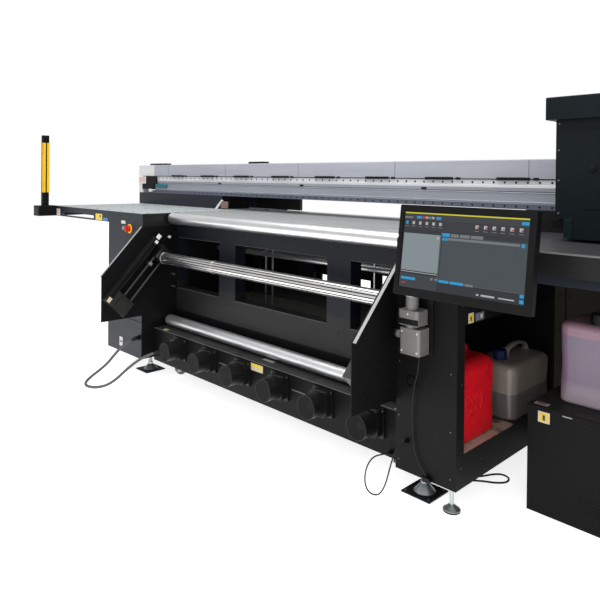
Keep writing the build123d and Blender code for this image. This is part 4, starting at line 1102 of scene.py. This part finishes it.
@dataclass
class Cabinets:
    """The two cabinets under the tables, the free cooler and the supply cabinet."""

    front: float = BODY_FRONT

    def build(self, shop: Workshop) -> None:
        """Dress the cabinets and add seams, labels, screws and their other fittings."""
        shop.dress("cabinet_paint", "left_cabinet")
        shop.dress("black_powder", "right_cabinet", "cooler_cabinet")
        shop.dress("olive_powder", "ink_cabinet")
        shop.dress("red_plastic", "main_switch")
        shop.dress("black_plastic", "start_button", "cable_glands")
        self.left_front(shop)
        self.right_side(shop)
        self.cooler(shop)
        self.supply(shop)

    def left_front(self, shop: Workshop) -> None:
        """Add the switch's plate, the labels and the service door's seam on the left cabinet."""
        plate = lathe([(0.0, 0.031), (-0.003, 0.031), (-0.0045, 0.029), (-0.0045, 0.008), (0.0, 0.008)],
                      Axis.Y, (-1.178, self.front, 0.952), 40, ring=True)
        shop.add("switch_plate", plate, "yellow_plastic", "switch_red")
        ring = lathe([(0.0, 0.012), (-0.004, 0.012), (-0.0045, 0.0058), (0.0, 0.0058)], Axis.Y,
                     (-1.263, self.front, 0.952), 28, ring=True)
        shop.add("button_ring", ring, "zinc", "zinc")
        shop.labels("cabinet_labels", FRONT.cards([(-1.292, -1.236, 0.980, 1.001, WHITE),
                (-1.305, -1.262, 0.150, 0.212, WHITE), (-1.300, -1.267, 0.176, 0.186, INK)]), "navy_paint")
        seam = [(-1.466, -1.020, -0.6418, -0.640, 0.352, 0.356)]
        shop.block("cabinet_seam", seam, "black_powder", "black_paint")
        spots = np.array([(x, self.front, z) for x in (-1.455, -1.030)
                          for z in (0.14, 0.33, 0.38, 0.62, 0.86)])
        shop.heads("left_cabinet_screws", front_stud(0.0032, 0.0015), spots)

    def right_side(self, shop: Workshop) -> None:
        """Add labels, screws, the compartment's lip and its stained liner on the right cabinet."""
        side = CardPlane((1.295, 0.0, 0.0), (0, 1, 0), (0, 0, 1), (1, 0, 0))
        shop.labels("compartment_labels", side.cards([(-0.563, -0.523, 0.745, 0.784, WHITE),
                (-0.560, -0.526, 0.748, 0.781, YELLOW), (-0.549, -0.538, 0.753, 0.770, INK),
                (-0.510, -0.444, 0.746, 0.778, (0.09, 0.09, 0.11)),
                (-0.506, -0.484, 0.750, 0.774, (0.16, 0.15, 0.26)), (-0.472, -0.456, 0.754, 0.770, WHITE)]),
                    "black_paint")
        shop.block("compartment_liner", [(1.022, 1.2945, -0.588, -0.172, 0.2500, 0.2503)], "tray_liner",
                   "olive_paint")
        shop.block("compartment_tray", [(1.024, 1.2945, -0.170, 0.213, 0.2499, 0.2503)], "base_powder",
                   "base_paint", bevel=0.0001)
        lip = [(1.289, 1.2955, -0.590, -0.586, 0.252, 0.741), (1.289, 1.2955, 0.211, 0.215, 0.252, 0.741),
               (1.295, 1.2957, -0.590, 0.215, 0.2380, 0.2496)]
        shop.block("compartment_lip", lip, "black_powder", "black_paint", bevel=0.0002)
        spots = np.array([(1.295, -0.606, z) for z in (0.20, 0.52, 0.82)]
                         + [(1.295, -0.45, 0.19), (1.295, 0.1, 0.19)]
                         + [(1.295, y, 1.02) for y in (-0.4, 0.0, 0.5)])
        heads = scattered(stud(Axis.X, 0.003, 0.0014), spots)
        fronts = np.array([(x, self.front, z) for x in (1.030, 1.270) for z in (0.16, 0.34, 0.56, 0.86)])
        heads = joined(heads, scattered(front_stud(0.003, 0.0014), fronts))
        shop.add("right_cabinet_screws", heads, "dull_screw", "zinc")

    def cooler(self, shop: Workshop) -> None:
        """Add the cooler's labels, name plate, vents and screws."""
        face = facing_front(-0.333)
        lid = facing_up(0.0, 0.420)
        shop.labels("cooler_labels", joined(face.cards([(1.470, 1.516, 0.358, 0.401, WHITE),
                (1.474, 1.512, 0.362, 0.397, YELLOW), (1.488, 1.498, 0.367, 0.388, INK)]),
                                            lid.cards([(1.446, 1.500, -0.318, -0.290, WHITE),
                (1.452, 1.490, -0.312, -0.295, (0.5, 0.03, 0.05))])), "black_paint")
        name_plate = boxes([(1.566, 1.602, -0.3376, -0.337, 0.4045, 0.4085)])
        shop.add("cooler_plate", name_plate, "silver_enamel", "silver_paint", bevel=0.0002)
        vents = [(x, x + 0.10, -0.3345, -0.333, z, z + 0.004) for x in (1.62, 1.78)
                 for z in np.arange(0.06, 0.13, 0.012)]
        shop.block("cooler_vents", vents, "base_powder", "base_paint", bevel=0.0005)
        spots = np.array([(x, -0.333, z) for x in (1.440, 2.016) for z in (0.03, 0.39)]
                         + [(1.668, -0.333, 0.388)])
        shop.heads("cooler_screws", front_stud(0.004, 0.0015), spots, "black_plastic", "black_paint")

    def supply(self, shop: Workshop) -> None:
        """Add the upright joint and the screws on the supply cabinet's front."""
        face = 0.222
        joint = [(1.345, 1.350, face - 0.0015, face, 0.07, 1.05),
                 (1.80, 1.803, face - 0.0015, face, 0.07, 1.05)]
        shop.block("supply_joints", joint, "black_powder", "black_paint")
        spots = np.array([(x, face, z) for x in (1.322, 1.365) for z in (0.45, 0.60, 0.76, 0.95)])
        shop.heads("supply_screws", front_stud(0.004, 0.0015), spots, "black_plastic", "black_paint")


@dataclass
class SideGuides:
    """Side plates with the sloping guides that the roll shaft is lowered on."""

    slope: float = math.radians(46.49433)
    shaft: tuple = (-0.520, 0.770)
    plate: float = 1.010

    def axes(self) -> np.ndarray:
        """Return the slope's axes: along X, down the slope, and square to it."""
        cos, sin = math.cos(self.slope), math.sin(self.slope)
        return np.array([[1, 0, 0], [0, -cos, -sin], [0, -sin, cos]], float)

    def on_slope(self, limits: list) -> Surface:
        """Return boxes given in the slope's axes from the shaft, set in the machine's frame."""
        return boxes(limits).mapped(self.axes(), (0.0, *self.shaft))

    def everywhere(self, right_front: Surface) -> Surface:
        """Return a shape of the front right guide on all four."""
        return right_front.doubled(Axis.X).doubled(Axis.Y)

    def build(self, shop: Workshop) -> None:
        """Dress the plates and guides and add levers, studs and marks, and painted highlight strips on the
        sloping edges.
        """
        shop.dress("black_powder", "front_side_plates", "rear_side_plates")
        shop.dress("window_paint", "window_frames")
        shop.dress("guide_metal", "shaft_guides", "front_shaft_blocks", "rear_shaft_blocks")
        inner = self.plate - 0.046
        covers = self.on_slope([(inner - 0.0015, inner, -0.060, 0.430, 0.100, 0.126),
                                (inner - 0.004, inner, 0.150, 0.190, 0.104, 0.122)])
        shop.add("guide_covers", self.everywhere(covers), "black_powder", "black_paint", bevel=0.0015)
        # painted highlight: a thin silver strip on each side plate's sloping edge, where its folded flange
        # catches the light
        edges = self.on_slope([(self.plate + 0.0080, self.plate + 0.0228, -0.066, 0.3395, 0.2281, 0.2289)])
        shop.add("plate_edge_highlights", self.everywhere(edges), "silver_enamel", "silver_paint")
        levers = self.on_slope([(inner - 0.010, inner - 0.002, -0.094, -0.064, 0.104, 0.132),
                                (inner - 0.016, inner - 0.002, -0.052, -0.034, 0.100, 0.118)])
        shop.add("clamp_levers", self.everywhere(levers), "white_enamel", "table_paint", bevel=0.002)
        stops = self.on_slope([(self.plate - 0.048, self.plate - 0.018, 0.072, 0.092, 0.028, 0.052)])
        shop.add("rod_stops", self.everywhere(stops), "zinc", "zinc", bevel=0.002)
        tag = CardPlane((self.plate - 0.046, *self.shaft), (0, -math.cos(self.slope), -math.sin(self.slope)),
                        (0, -math.sin(self.slope), math.cos(self.slope)), (-1, 0, 0))
        marks = tag.cards([(0.404, 0.436, 0.100, 0.124, CREAM)], 0.0018)
        shop.labels("guide_labels", self.everywhere(marks), "guide_steel")
        self.studs(shop)

    def studs(self, shop: Workshop) -> None:
        """Add the studs and the knob on the inner faces and the bolts on the outer ones."""
        inner = [lathe([(0.0, 0.006), (-0.034, 0.006), (-0.036, 0.0045)], Axis.X, (self.plate, -0.420, z), 12)
                 for z in (0.75, 0.65, 0.57)]
        knob = lathe([(0.0, 0.005), (-0.012, 0.006), (-0.018, 0.010), (-0.026, 0.009), (-0.028, 0.006)],
                     Axis.X, (self.plate, -0.452, 0.900), 24)
        shop.add("plate_studs", self.everywhere(joined(*inner)), "dull_screw", "zinc")
        shop.add("plate_knobs", self.everywhere(knob), "white_plastic", "table_paint", smooth=True)
        spots = np.array([(self.plate + 0.005, -y, z) for y, z in ((0.66, 0.62), (0.70, 0.47), (0.76, 0.56),
                (0.84, 0.45), (0.84, 0.62), (0.68, 0.78))])
        shop.add("plate_bolts", self.everywhere(scattered(stud(Axis.X, 0.006, 0.003), spots)),
                 "black_plastic", "black_paint")


@dataclass
class WindowBay:
    """What shows through the windows: rails, uprights and the shelf."""

    half: float = 0.985
    back: tuple = (0.560, 0.880)

    def build(self, shop: Workshop) -> None:
        """Add the pieces of the bay and the edges of the windows."""
        shop.dress("base_powder", "base_frame")
        bars = [lathe([(-self.half, radius), (self.half, radius)], Axis.X, (0.0, y, z), 24)
                for y, z, radius in ((-0.05, 0.802, 0.014), (0.11, 0.790, 0.014))]
        shop.add("media_rails", joined(*bars), "tension_metal", "roller_steel", smooth=True)
        posts = [(x, x + 0.009, -0.054, -0.045, 0.452, 0.86) for x in (-0.478, -0.413, 0.420)]
        low, high = self.back
        panels = [(-self.half, -0.575, low), (-0.575, -0.487, 0.695), (-0.487, -0.345, low),
                  (-0.345, -0.295, 0.648), (-0.295, -0.035, low), (-0.035, 0.080, 0.655), (0.080, 0.168, low),
                  (0.168, 0.212, 0.700), (0.212, self.half, low)]
        back = [(x0, x1, 0.340, 0.352, z, high) for x0, x1, z in panels]
        back.insert(2, (-0.575, -0.487, 0.340, 0.352, low, 0.668))
        skirt = boxes([(-1.004, 1.004, -0.3785, -0.3765, 0.150, 0.412)])
        shop.add("bay_skirt", skirt.doubled(Axis.Y), "deep_powder", "black_paint")
        shop.block("bay_back", back, "deep_powder", "black_paint")
        shop.block("bay_uprights", posts, "zinc", "zinc", bevel=0.001)
        shelf = [(-self.half, self.half, -0.26, 0.26, 0.440, 0.452),
                 (-self.half, self.half, -0.262, -0.258, 0.452, 0.478)]
        shop.block("bay_shelf", shelf, "shelf_grey", "table_paint", bevel=0.002)
        edges = [(x0, x1, -0.3808, -0.380, z, z + 0.0016) for z in (0.5545, 0.8935)
                 for x0, x1 in ((-0.99, -0.538), (-0.378, 0.378), (0.538, 0.99))]
        trims = boxes(edges)
        shop.add("window_edges", trims.doubled(Axis.Y), "shelf_grey", "navy_paint")
        spots = np.array([(x, -0.380, z) for x in (-0.96, -0.458, 0.458, 0.96)
                          for z in (0.43, 0.52, 0.92, 0.96)])
        heads = scattered(front_stud(0.005, 0.002), spots)
        shop.add("window_screws", heads.doubled(Axis.Y), "black_plastic", "black_paint")


@dataclass
class FanRow:
    """The hollow beam with its six fans and their guards."""

    first: float = -0.692
    pitch: float = 0.304
    height: float = 0.236
    front: float = -0.670
    radius: float = 0.0545
    mesh_pitch: float = 0.0058

    def places(self) -> np.ndarray:
        """Return the x of each fan."""
        return self.first + self.pitch * np.arange(6)

    def build(self, shop: Workshop) -> None:
        """Dress the beam and fans and add guards, screws, bars and labels."""
        shop.dress("black_powder", "fan_duct")
        shop.dress("fan_plastic", "fan_housings", *[f"fan_rotor_{index}" for index in range(1, 7)])
        for index, x in enumerate(self.places(), start=1):
            shop.add(f"fan_guard_{index}", self.guard(x), "fan_plastic", "fan_plastic")
        corners = np.array([(x + dx, -0.562, self.height + dz) for x in self.places()
                            for dx in (-0.056, 0.056) for dz in (-0.056, 0.056)])
        shop.heads("fan_screws", front_stud(0.0035, 0.003), corners)
        bars = [(x + 0.085, x + 0.219, -0.554, -0.5495, 0.233, 0.240) for x in self.places()[[1, 3]]]
        shop.block("duct_bars", bars, "dull_screw", "table_paint", bevel=0.0015)
        shop.block("duct_edge", [(-1.008, 1.008, -0.5508, -0.548, 0.3085, 0.3105)], "shelf_grey",
                   "table_paint")
        face = facing_front(-0.550)
        top = facing_up(-0.550, 0.310)
        shop.labels("duct_labels", joined(face.cards([(-0.064, 0.080, 0.262, 0.300, CREAM),
                (-0.062, 0.078, 0.284, 0.299, YELLOW)]), top.cards([(-0.925, -0.885, 0.010, 0.040, CREAM),
                (0.93, 0.98, 0.010, 0.040, CREAM)]), top.cards([(0.005, 0.090, 0.058, 0.084,
                (0.30, 0.29, 0.28))])), "black_paint")

    def guard(self, x: float) -> Surface:
        """Return one guard: a rim and a fine grid cut to a circle.

        A grid wire that lies d from the middle is half as long as the square root of the radius
        squared less d squared.
        """
        offsets = np.arange(-9, 10) * self.mesh_pitch
        reach = np.sqrt(self.radius ** 2 - offsets ** 2)
        wire, y0, y1 = 0.0008, self.front - 0.0012, self.front
        upright = [(x + d - wire, x + d + wire, y0, y1, self.height - r, self.height + r)
                   for d, r in zip(offsets, reach)]
        level = [(x - r, x + r, y0 + 0.0002, y1, self.height + d - wire, self.height + d + wire)
                 for d, r in zip(offsets, reach)]
        rim = hoop(Axis.Y, (x, self.front, self.height), self.radius, 0.0024, 40)
        return joined(boxes(upright + level), rim)


@dataclass
class MonitorSet:
    """The operator's screen, its bezel, its arm and post."""

    centre: tuple = (1.400, -0.793, 1.037)
    tilt: float = math.radians(7.9)
    half: tuple = (0.265, 0.167)
    depth: float = 0.015

    def plane(self) -> CardPlane:
        """Return the plane of the screen's front."""
        sin, cos = math.sin(self.tilt), math.cos(self.tilt)
        forward = np.array([0.0, -cos, sin])
        return CardPlane(tuple(np.array(self.centre) + forward * self.depth), (1, 0, 0), (0, sin, cos),
                         tuple(forward))

    def build(self, shop: Workshop) -> None:
        """Dress the case and post and add bezel, screen, vents and strap."""
        shop.dress("black_plastic", "monitor_case")
        shop.dress("post_paint", "monitor_post", "monitor_arm")
        plane = self.plane()
        axes = [plane.width, plane.height, plane.outward]
        wide, high = self.half
        rim = [(-wide + 0.002, wide - 0.002, 0.1400, high - 0.002, 0.0, 0.0020),
               (-wide + 0.002, wide - 0.002, -high + 0.002, -0.1360, 0.0, 0.0020),
               (-wide + 0.002, -0.2440, -0.1360, 0.1400, 0.0, 0.0020),
               (0.2410, wide - 0.002, -0.1360, 0.1400, 0.0, 0.0020)]
        shop.add("monitor_bezel", boxes(rim).mapped(axes, plane.origin), "black_plastic", "monitor_plastic",
                 "monitor", bevel=0.0006)
        shop.add("monitor_screen", plane.cards(self.picture(), 0.00025), "screen_glow", "monitor_plastic",
                 "monitor")
        back = [(-0.20 + 0.025 * step, -0.19 + 0.025 * step, 0.09, 0.125, -0.0312, -0.030)
                for step in range(17)]
        shop.add("monitor_vents", boxes(back).mapped(axes, plane.origin), "base_powder", "base_paint",
                 "monitor")
        strap = joined(boxes([(1.078, 1.176, -0.7255, -0.7235, 0.738, 0.760)]),
                       boxes([(1.152, 1.172, -0.7275, -0.7235, 0.742, 0.756)]))
        shop.add("post_strap", strap, "black_plastic", "black_paint", bevel=0.001)
        grip = lathe([(1.046, 0.012), (1.049, 0.0175), (1.066, 0.0175), (1.069, 0.014)], Axis.X,
                     (0.0, -0.700, 0.690), 48, knurl=0.03, teeth=12)
        shop.add("post_knob", grip, "black_plastic", "black_paint", smooth=True)
        screws = [(x, -0.720, z) for x in (1.096, 1.167) for z in (0.634, 0.708)] + [(1.126, -0.724, 0.778)]
        shop.heads("post_screws", front_stud(0.005, 0.003), screws, "zinc", "zinc")
        collar = lathe([(0.846, 0.0318), (0.848, 0.0330), (0.856, 0.0330), (0.858, 0.0318), (0.858, 0.0312),
                        (0.846, 0.0312)], Axis.Z, (1.125, -0.692, 0.0), 40, ring=True)
        shop.add("post_collar", collar, "zinc", "zinc")

    def picture(self) -> list:
        """Return the screen's plain panels: title line, tool bar, preview, work area and buttons."""
        dark, panel, rule = (0.026, 0.030, 0.034), (0.062, 0.078, 0.086), (0.15, 0.16, 0.17)
        cyan, pale, grey, white = (0.02, 0.36, 0.68), (0.26, 0.31, 0.33), (0.20, 0.21, 0.22), (0.50, 0.50,
                0.50)
        red, foot, bar = (0.45, 0.03, 0.03), (0.045, 0.052, 0.056), (0.038, 0.040, 0.043)
        shade = (0.030, 0.033, 0.036)
        middle, right = -0.074, 0.240
        items = [(-0.240, 0.245, low, high, colour) for low, high, colour in ((-0.136, 0.140, dark),
                (0.1355, 0.140, (0.75, 0.68, 0.03)), (0.113, 0.135, (0.050, 0.052, 0.056)))]
        items += [(0.215, 0.240, 0.118, 0.128, cyan), (-0.240, -0.205, 0.118, 0.124, grey),
                  (-0.188, -0.167, 0.118, 0.127, cyan), (-0.105, -0.085, 0.118, 0.127, cyan),
                  (-0.240, 0.245, 0.076, 0.1125, bar), (-0.240, -0.084, 0.064, 0.075, shade),
                  (-0.238, -0.082, -0.073, 0.063, pale), (-0.096, -0.086, 0.048, 0.056, white),
                  (-0.238, -0.082, -0.079, -0.0768, white), (-0.240, -0.080, -0.135, -0.085, foot),
                  (-0.234, -0.172, -0.107, -0.0975, cyan), (-0.232, -0.212, -0.122, -0.117, red)]
        items += [(x, x + 0.010, -0.099, -0.090, grey) for x in (-0.108, -0.090)]
        items += [(middle, right, -0.098, 0.060, panel), (middle, right, 0.060, 0.075, shade),
                  (middle, -0.044, 0.060, 0.072, cyan)]
        items += [(x0, x1, 0.060, 0.071, grey) for x0, x1 in ((-0.040, -0.008), (-0.004, 0.034),
                (0.038, 0.084))]
        items += [(x, x + 0.009, 0.046, 0.055, cyan) for x in (-0.073, -0.061)]
        items += [(-0.050, 0.214, 0.048, 0.056, grey), (0.220, 0.231, 0.045, 0.057, cyan),
                  (middle, right, -0.100, -0.0985, rule), (middle, -0.034, -0.102, -0.093, cyan),
                  (-0.028, 0.024, -0.102, -0.093, cyan), (0.030, 0.060, -0.102, -0.094, grey),
                  (-0.079, -0.078, -0.098, 0.074, rule), (0.226, 0.239, -0.113, -0.102, cyan),
                  (0.226, 0.239, -0.131, -0.119, cyan), (0.075, 0.083, -0.127, -0.121, white),
                  (0.092, 0.140, -0.127, -0.121, white), (0.154, 0.208, -0.126, -0.122, white)]
        for step in range(6):
            left, far = -0.232 + step * 0.0285, 0.053 + step * 0.0315
            items += [(left, left + 0.009, 0.096, 0.107, cyan if step == 0 else white),
                      (left - 0.002, left + 0.013, 0.088, 0.090, grey),
                      (far, far + 0.011, 0.095, 0.107, white), (far + 0.006, far + 0.011, 0.096, 0.101, red),
                      (far - 0.002, far + 0.014, 0.086, 0.088, grey)]
        inks = ((0.55, 0.03, 0.40), (0.65, 0.50, 0.02), (0.10, 0.25, 0.70), (0.45, 0.45, 0.45))
        items += [(-0.160 + 0.013 * step, -0.152 + 0.013 * step, 0.1190, 0.1265, ink)
                  for step, ink in enumerate(inks)]
        return items


@dataclass
class Can:
    """A blow-moulded can with a grip over the top and a ribbed cap."""

    name: str
    low: tuple
    high: tuple
    cap: tuple
    cap_size: tuple
    grip: tuple
    cap_finish: str
    side: float
    round_over: float

    def shell(self) -> Surface:
        """Return the can's body.

        Its sections are rounded rectangles. Near the bottom and the top they draw in on a quarter
        circle, and a shallow waist of a few millimetres runs round the middle.
        """
        shoulder = self.high[2]
        half = (np.array(self.high) - np.array(self.low)) / 2
        middle = (np.array(self.high) + np.array(self.low)) / 2
        turn = np.linspace(0.0, np.pi / 2, 8)
        base_z = self.low[2] + 0.012 * (1 - np.sin(turn))[::-1]
        base_in = 0.012 * (1 - np.cos(turn))[::-1]
        wall_z = np.linspace(self.low[2] + 0.016, shoulder - self.round_over - 0.004, 15)
        waist = 0.0030 * np.exp(-((wall_z - wall_z.mean()) / 0.05) ** 2) + 0.0006
        top_z = shoulder - self.round_over * (1 - np.sin(turn))
        top_in = self.round_over * (1 - np.cos(turn)) + 0.0006
        z = np.concatenate([base_z, wall_z, top_z])
        inset = np.concatenate([base_in, waist, top_in])
        corner = np.clip(self.side - inset * 0.4, 0.008, None)
        flat = rounded_section(half[0] - inset, half[1] - inset, corner)
        points = np.dstack([flat + middle[:2], np.broadcast_to(z[:, None], flat.shape[:2])])
        return grid(points).outward()

    def grip_bar(self) -> Surface:
        """Return the arched grip along Y.

        Its middle line rises with the sine of the angle to the power 0.55, so it is flat on top.
        """
        start, end, rise, wide = self.grip
        turn = np.linspace(0.0, np.pi, 33)
        y = (start + end) / 2 - (end - start) / 2 * np.cos(turn)
        z = self.high[2] - 0.014 + rise * np.sin(turn) ** 0.55
        path = np.stack([np.full_like(y, self.cap[0]), y, z], -1)
        return swept(path, (1, 0, 0), wide, 0.0085)

    def cap_shape(self) -> Surface:
        """Return the ribbed cap on its neck."""
        radius, top = self.cap_size
        low = self.high[2] - 0.006
        neck = lathe([(low, radius * 0.84), (low + 0.012, radius * 0.84)], Axis.Z, (*self.cap, 0.0), 32)
        crown = lathe([(low + 0.010, radius * 0.97), (top - 0.004, radius * 0.95), (top, radius * 0.86)],
                      Axis.Z, (*self.cap, 0.0), 96, knurl=0.018, teeth=24)
        return joined(neck, crown)

    def build(self, shop: Workshop) -> None:
        """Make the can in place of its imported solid."""
        body = shop.add(f"{self.name}_body", joined(self.shell(), self.grip_bar()), self.name, self.name,
                        self.node(), smooth=True)
        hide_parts(self.node())
        shop.add(f"{self.name}_cap", self.cap_shape(), self.cap_finish, self.name, self.node())

    def node(self) -> str:
        """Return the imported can's name, which has the two words the other way round."""
        return "_".join(self.name.split("_")[::-1])


@dataclass
class CanStore:
    """The three cans and what is moulded or stuck on them."""

    cans: tuple = (
        Can("can_red", (1.042, -0.575, 0.250), (1.257, -0.270, 0.568), (1.150, -0.520),
            (0.026, 0.628), (-0.478, -0.337, 0.058, 0.013), "black_plastic", 0.030, 0.046),
        Can("can_clear", (1.072, -0.165, 0.250), (1.287, 0.205, 0.490), (1.180, -0.085),
            (0.031, 0.533), (-0.038, 0.163, 0.060, 0.016), "blue_plastic", 0.040, 0.030),
        Can("can_pink", (1.498, -0.223, 0.420), (1.788, 0.017, 0.742), (1.640, -0.178),
            (0.032, 0.785), (-0.126, -0.002, 0.056, 0.015), "black_plastic", 0.040, 0.026))
    rib_face: float = 1.254
    rib_rise: float = 0.0016

    def build(self, shop: Workshop) -> None:
        """Make the cans, the red one's collar and moulded ribs and the pink one's tag."""
        for can in self.cans:
            can.build(shop)
        collar = lathe([(0.520, 0.060), (0.556, 0.058), (0.585, 0.040), (0.606, 0.031), (0.612, 0.027)],
                       Axis.Z, (1.150, -0.512, 0.0), 48)
        shop.add("red_can_collar", collar, "can_red", "can_red", "red_can", smooth=True)
        face, rise = self.rib_face, self.rib_rise
        ribs = []
        for low, high in ((0.300, 0.500), (0.500, 0.300)):
            path = np.linspace((face, -0.540, low), (face, -0.345, high), 12)
            ribs.append(swept(path, (1, 0, 0), rise, 0.0060))
        ribs.append(hoop(Axis.X, (face, -0.4425, 0.400), 0.062, rise, 48))
        shop.add("red_can_ribs", joined(*ribs), "can_red", "can_red", "red_can", smooth=True)
        tag = boxes([(1.690, 1.715, -0.062, -0.030, 0.7635, 0.7650)])
        shop.add("pink_can_tag", tag, "white_plastic", "can_pink", "pink_can", bevel=0.0005)


@dataclass
class FeetAndCasters:
    """Levelling feet with their threads, and the transport casters."""

    feet: tuple = ((-1.127, 0.505), (1.077, 0.520))
    casters: tuple = ((-0.885, -0.445), (0.885, -0.445), (-0.885, 0.430), (0.885, 0.430))

    def build(self, shop: Workshop) -> None:
        """Dress the feet and casters and add threads, hub caps and brake tabs."""
        shop.dress("foot_paint", "levelling_feet")
        shop.dress("zinc", *[f"caster_fork_{index}" for index in range(1, 5)])
        shop.dress("tread", *[f"caster_wheel_{index}" for index in range(1, 5)])
        rise = np.linspace(0.053, 0.118, 66)
        thread = np.stack([rise, 0.0098 + 0.0011 * np.cos(np.arange(66) * np.pi)], -1)
        profile = np.concatenate([thread, [(0.118, 0.0095), (0.053, 0.0095)]])
        studs = [lathe(profile, Axis.Z, (x, side * y, 0.0), 20, ring=True) for x, y in self.feet
                 for side in (-1, 1)]
        shop.add("foot_threads", joined(*studs), "zinc", "zinc")
        bolts = np.array([(x + dx, side * y + dy, 0.006) for x, y in self.feet for side in (-1, 1)
                          for dx in (-0.056, 0.056) for dy in (-0.056, 0.056)])
        shop.heads("foot_bolts", stud(Axis.Z, 0.006, 0.004), bolts)
        for index, (x, y) in enumerate(self.casters, start=1):
            hub = [(0.0125, 0.016), (0.0138, 0.015), (0.0142, 0.007)]
            caps = [lathe([(side * along, radius) for along, radius in hub], Axis.X, (x, y + 0.026, 0.041),
                          24) for side in (-1, 1)]
            shop.add(f"caster_hub_{index}", joined(*caps), "zinc", "zinc", f"wheel_{index}")
            tab = boxes([(x - 0.010, x + 0.010, y + 0.038, y + 0.052, 0.084, 0.088)])
            shop.add(f"caster_tab_{index}", tab, "zinc", "zinc", f"caster_{index}", bevel=0.001)


@dataclass
class LightCurtains:
    """Guard posts at the outer front corners, black with yellow lips beside the lens slot."""

    inner: float = 2.393
    back: float = -0.685
    front: float = -0.735
    low: float = 1.165
    high: float = 1.560

    def build(self, shop: Workshop) -> None:
        """Dress the posts and add the yellow lips and the foot fittings."""
        shop.dress("black_powder", "light_curtains")
        skin, edge = 0.0012, self.inner + 0.018
        lips = ((self.front + 0.001, -0.7140), (-0.7040, self.back - 0.001))
        shell = [(self.inner - skin, self.inner, y0, y1, self.low, self.high) for y0, y1 in lips]
        shell += [(self.inner, edge, y, y + skin, self.low, self.high)
                  for y in (self.front - skin, self.back)]
        shop.add("curtain_shells", boxes(shell).doubled(Axis.X), "yellow_plastic", "switch_red", bevel=0.0005)
        foot = [(2.356, 2.360, -0.770, -0.650, 0.995, 1.045), (2.372, 2.452, -0.7825, -0.780, 0.992, 1.048)]
        shop.add("curtain_foot_covers", boxes(foot).doubled(Axis.X), "black_plastic", "black_paint",
                 bevel=0.0008)
        spots = np.array([(x, -0.780, z) for x in (2.362, 2.455) for z in (0.988, 1.052)])
        heads = scattered(front_stud(0.004, 0.002), spots)
        shop.add("curtain_screws", heads.doubled(Axis.X), "dull_screw", "zinc")


@dataclass
class Studio:
    """Floor, light and camera."""

    place: tuple = (2.517, -2.670, 1.300)
    yaw: float = math.radians(45.67)
    pitch: float = math.radians(0.44)
    roll: float = math.radians(-0.57)
    lens: float = 36.65
    shift: float = -0.1955
    reach: float = 14.0
    floor_glow: float = 0.8
    sky_light: float = 0.55

    def camera(self) -> None:
        """Set the camera.

        Its axes are the level right-hand direction and the direction down, turned by the roll, and
        the line of sight, turned by the yaw and the pitch.
        """
        sight = np.array([-math.sin(self.yaw) * math.cos(self.pitch),
                          math.cos(self.yaw) * math.cos(self.pitch), -math.sin(self.pitch)])
        level = np.array([math.cos(self.yaw), math.sin(self.yaw), 0.0])
        down = np.cross(sight, level)
        right = math.cos(self.roll) * level + math.sin(self.roll) * down
        fall = math.cos(self.roll) * down - math.sin(self.roll) * level
        data = bpy.data.cameras.new("view")
        data.lens = self.lens
        data.sensor_width = 36.0
        data.shift_y = self.shift
        data.clip_end = 60.0
        made = linked("view", data)
        turned(made, right, -fall, -sight, self.place)
        bpy.context.scene.camera = made

    def floor(self) -> None:
        """Lay the plain pale floor, which glows so that it merges with the backdrop."""
        graph = Graph("floor_paint")
        cloud = graph.noise(0.6, detail=3.0)
        graph.dress(Base_Color=graph.mix(cloud, tone((0.86, 0.86, 0.86)), tone((0.90, 0.90, 0.90))),
                    Roughness=0.7, Emission_Color=tone((1.0, 1.0, 1.0)), Emission_Strength=self.floor_glow)
        corners = np.array([[(x, y, 0.0) for x in (-self.reach, self.reach)]
                            for y in (-self.reach, self.reach)])
        made = linked("floor", grid(corners, wrap=False, capped=False).mesh("floor"))
        made.data.materials.append(graph.material)

    def lamp(self, name: str, at: tuple, towards: tuple, size: tuple, power: float) -> None:
        """Hang one soft rectangular lamp that faces a point."""
        data = bpy.data.lights.new(name, "AREA")
        data.shape = "RECTANGLE"
        data.size, data.size_y = size
        data.energy = power
        back = np.array(at, float) - np.array(towards, float)
        back /= np.linalg.norm(back)
        side = np.cross((0.0, 0.0, 1.0), back) if abs(back[2]) < 0.99 else np.array([1.0, 0.0, 0.0])
        side /= np.linalg.norm(side)
        turned(linked(name, data), side, np.cross(back, side), back, at)

    def build(self) -> None:
        """Make the floor, the light and the camera.

        The sky is full white where the camera sees it and dimmer as a light.
        """
        self.camera()
        self.floor()
        world = bpy.data.worlds.new("studio")
        world.use_nodes = True
        sky = world.node_tree.nodes["Background"]
        sky.inputs[0].default_value = tone((1.0, 1.0, 1.0))
        seen = world.node_tree.nodes.new("ShaderNodeLightPath").outputs["Is Camera Ray"]
        strength = world.node_tree.nodes.new("ShaderNodeMapRange")
        strength.inputs["To Min"].default_value = self.sky_light
        world.node_tree.links.new(seen, strength.inputs["Value"])
        world.node_tree.links.new(strength.outputs["Result"], sky.inputs[1])
        bpy.context.scene.world = world
        bpy.context.scene.view_settings.view_transform = "Standard"
        self.lamp("overhead", (0.0, -1.0, 4.2), (0.0, -0.2, 0.8), (5.0, 2.2), 150.0)
        self.lamp("front_fill", (3.2, -4.2, 2.6), (0.3, -0.4, 0.7), (2.5, 2.0), 60.0)


def main() -> None:
    """Build the machine's looks in order."""
    logging.basicConfig(level=logging.INFO, format="%(name)s: %(message)s")
    shop = Workshop(Paints())
    Studio().build()
    for cord in CORDS:
        cord.build(shop)
    for assembly in (BeltAndRollers(), Gantry(), Carriage(), SideTables(), Cabinets(), SideGuides(),
                     WindowBay(), FanRow(), MonitorSet(), CanStore(), FeetAndCasters(), LightCurtains()):
        assembly.build(shop)
        LOG.info("%s done", type(assembly).__name__)
    LOG.info("%d pieces", shop.count)
    bpy.context.view_layer.update()


if __name__ == "__main__":
    main()
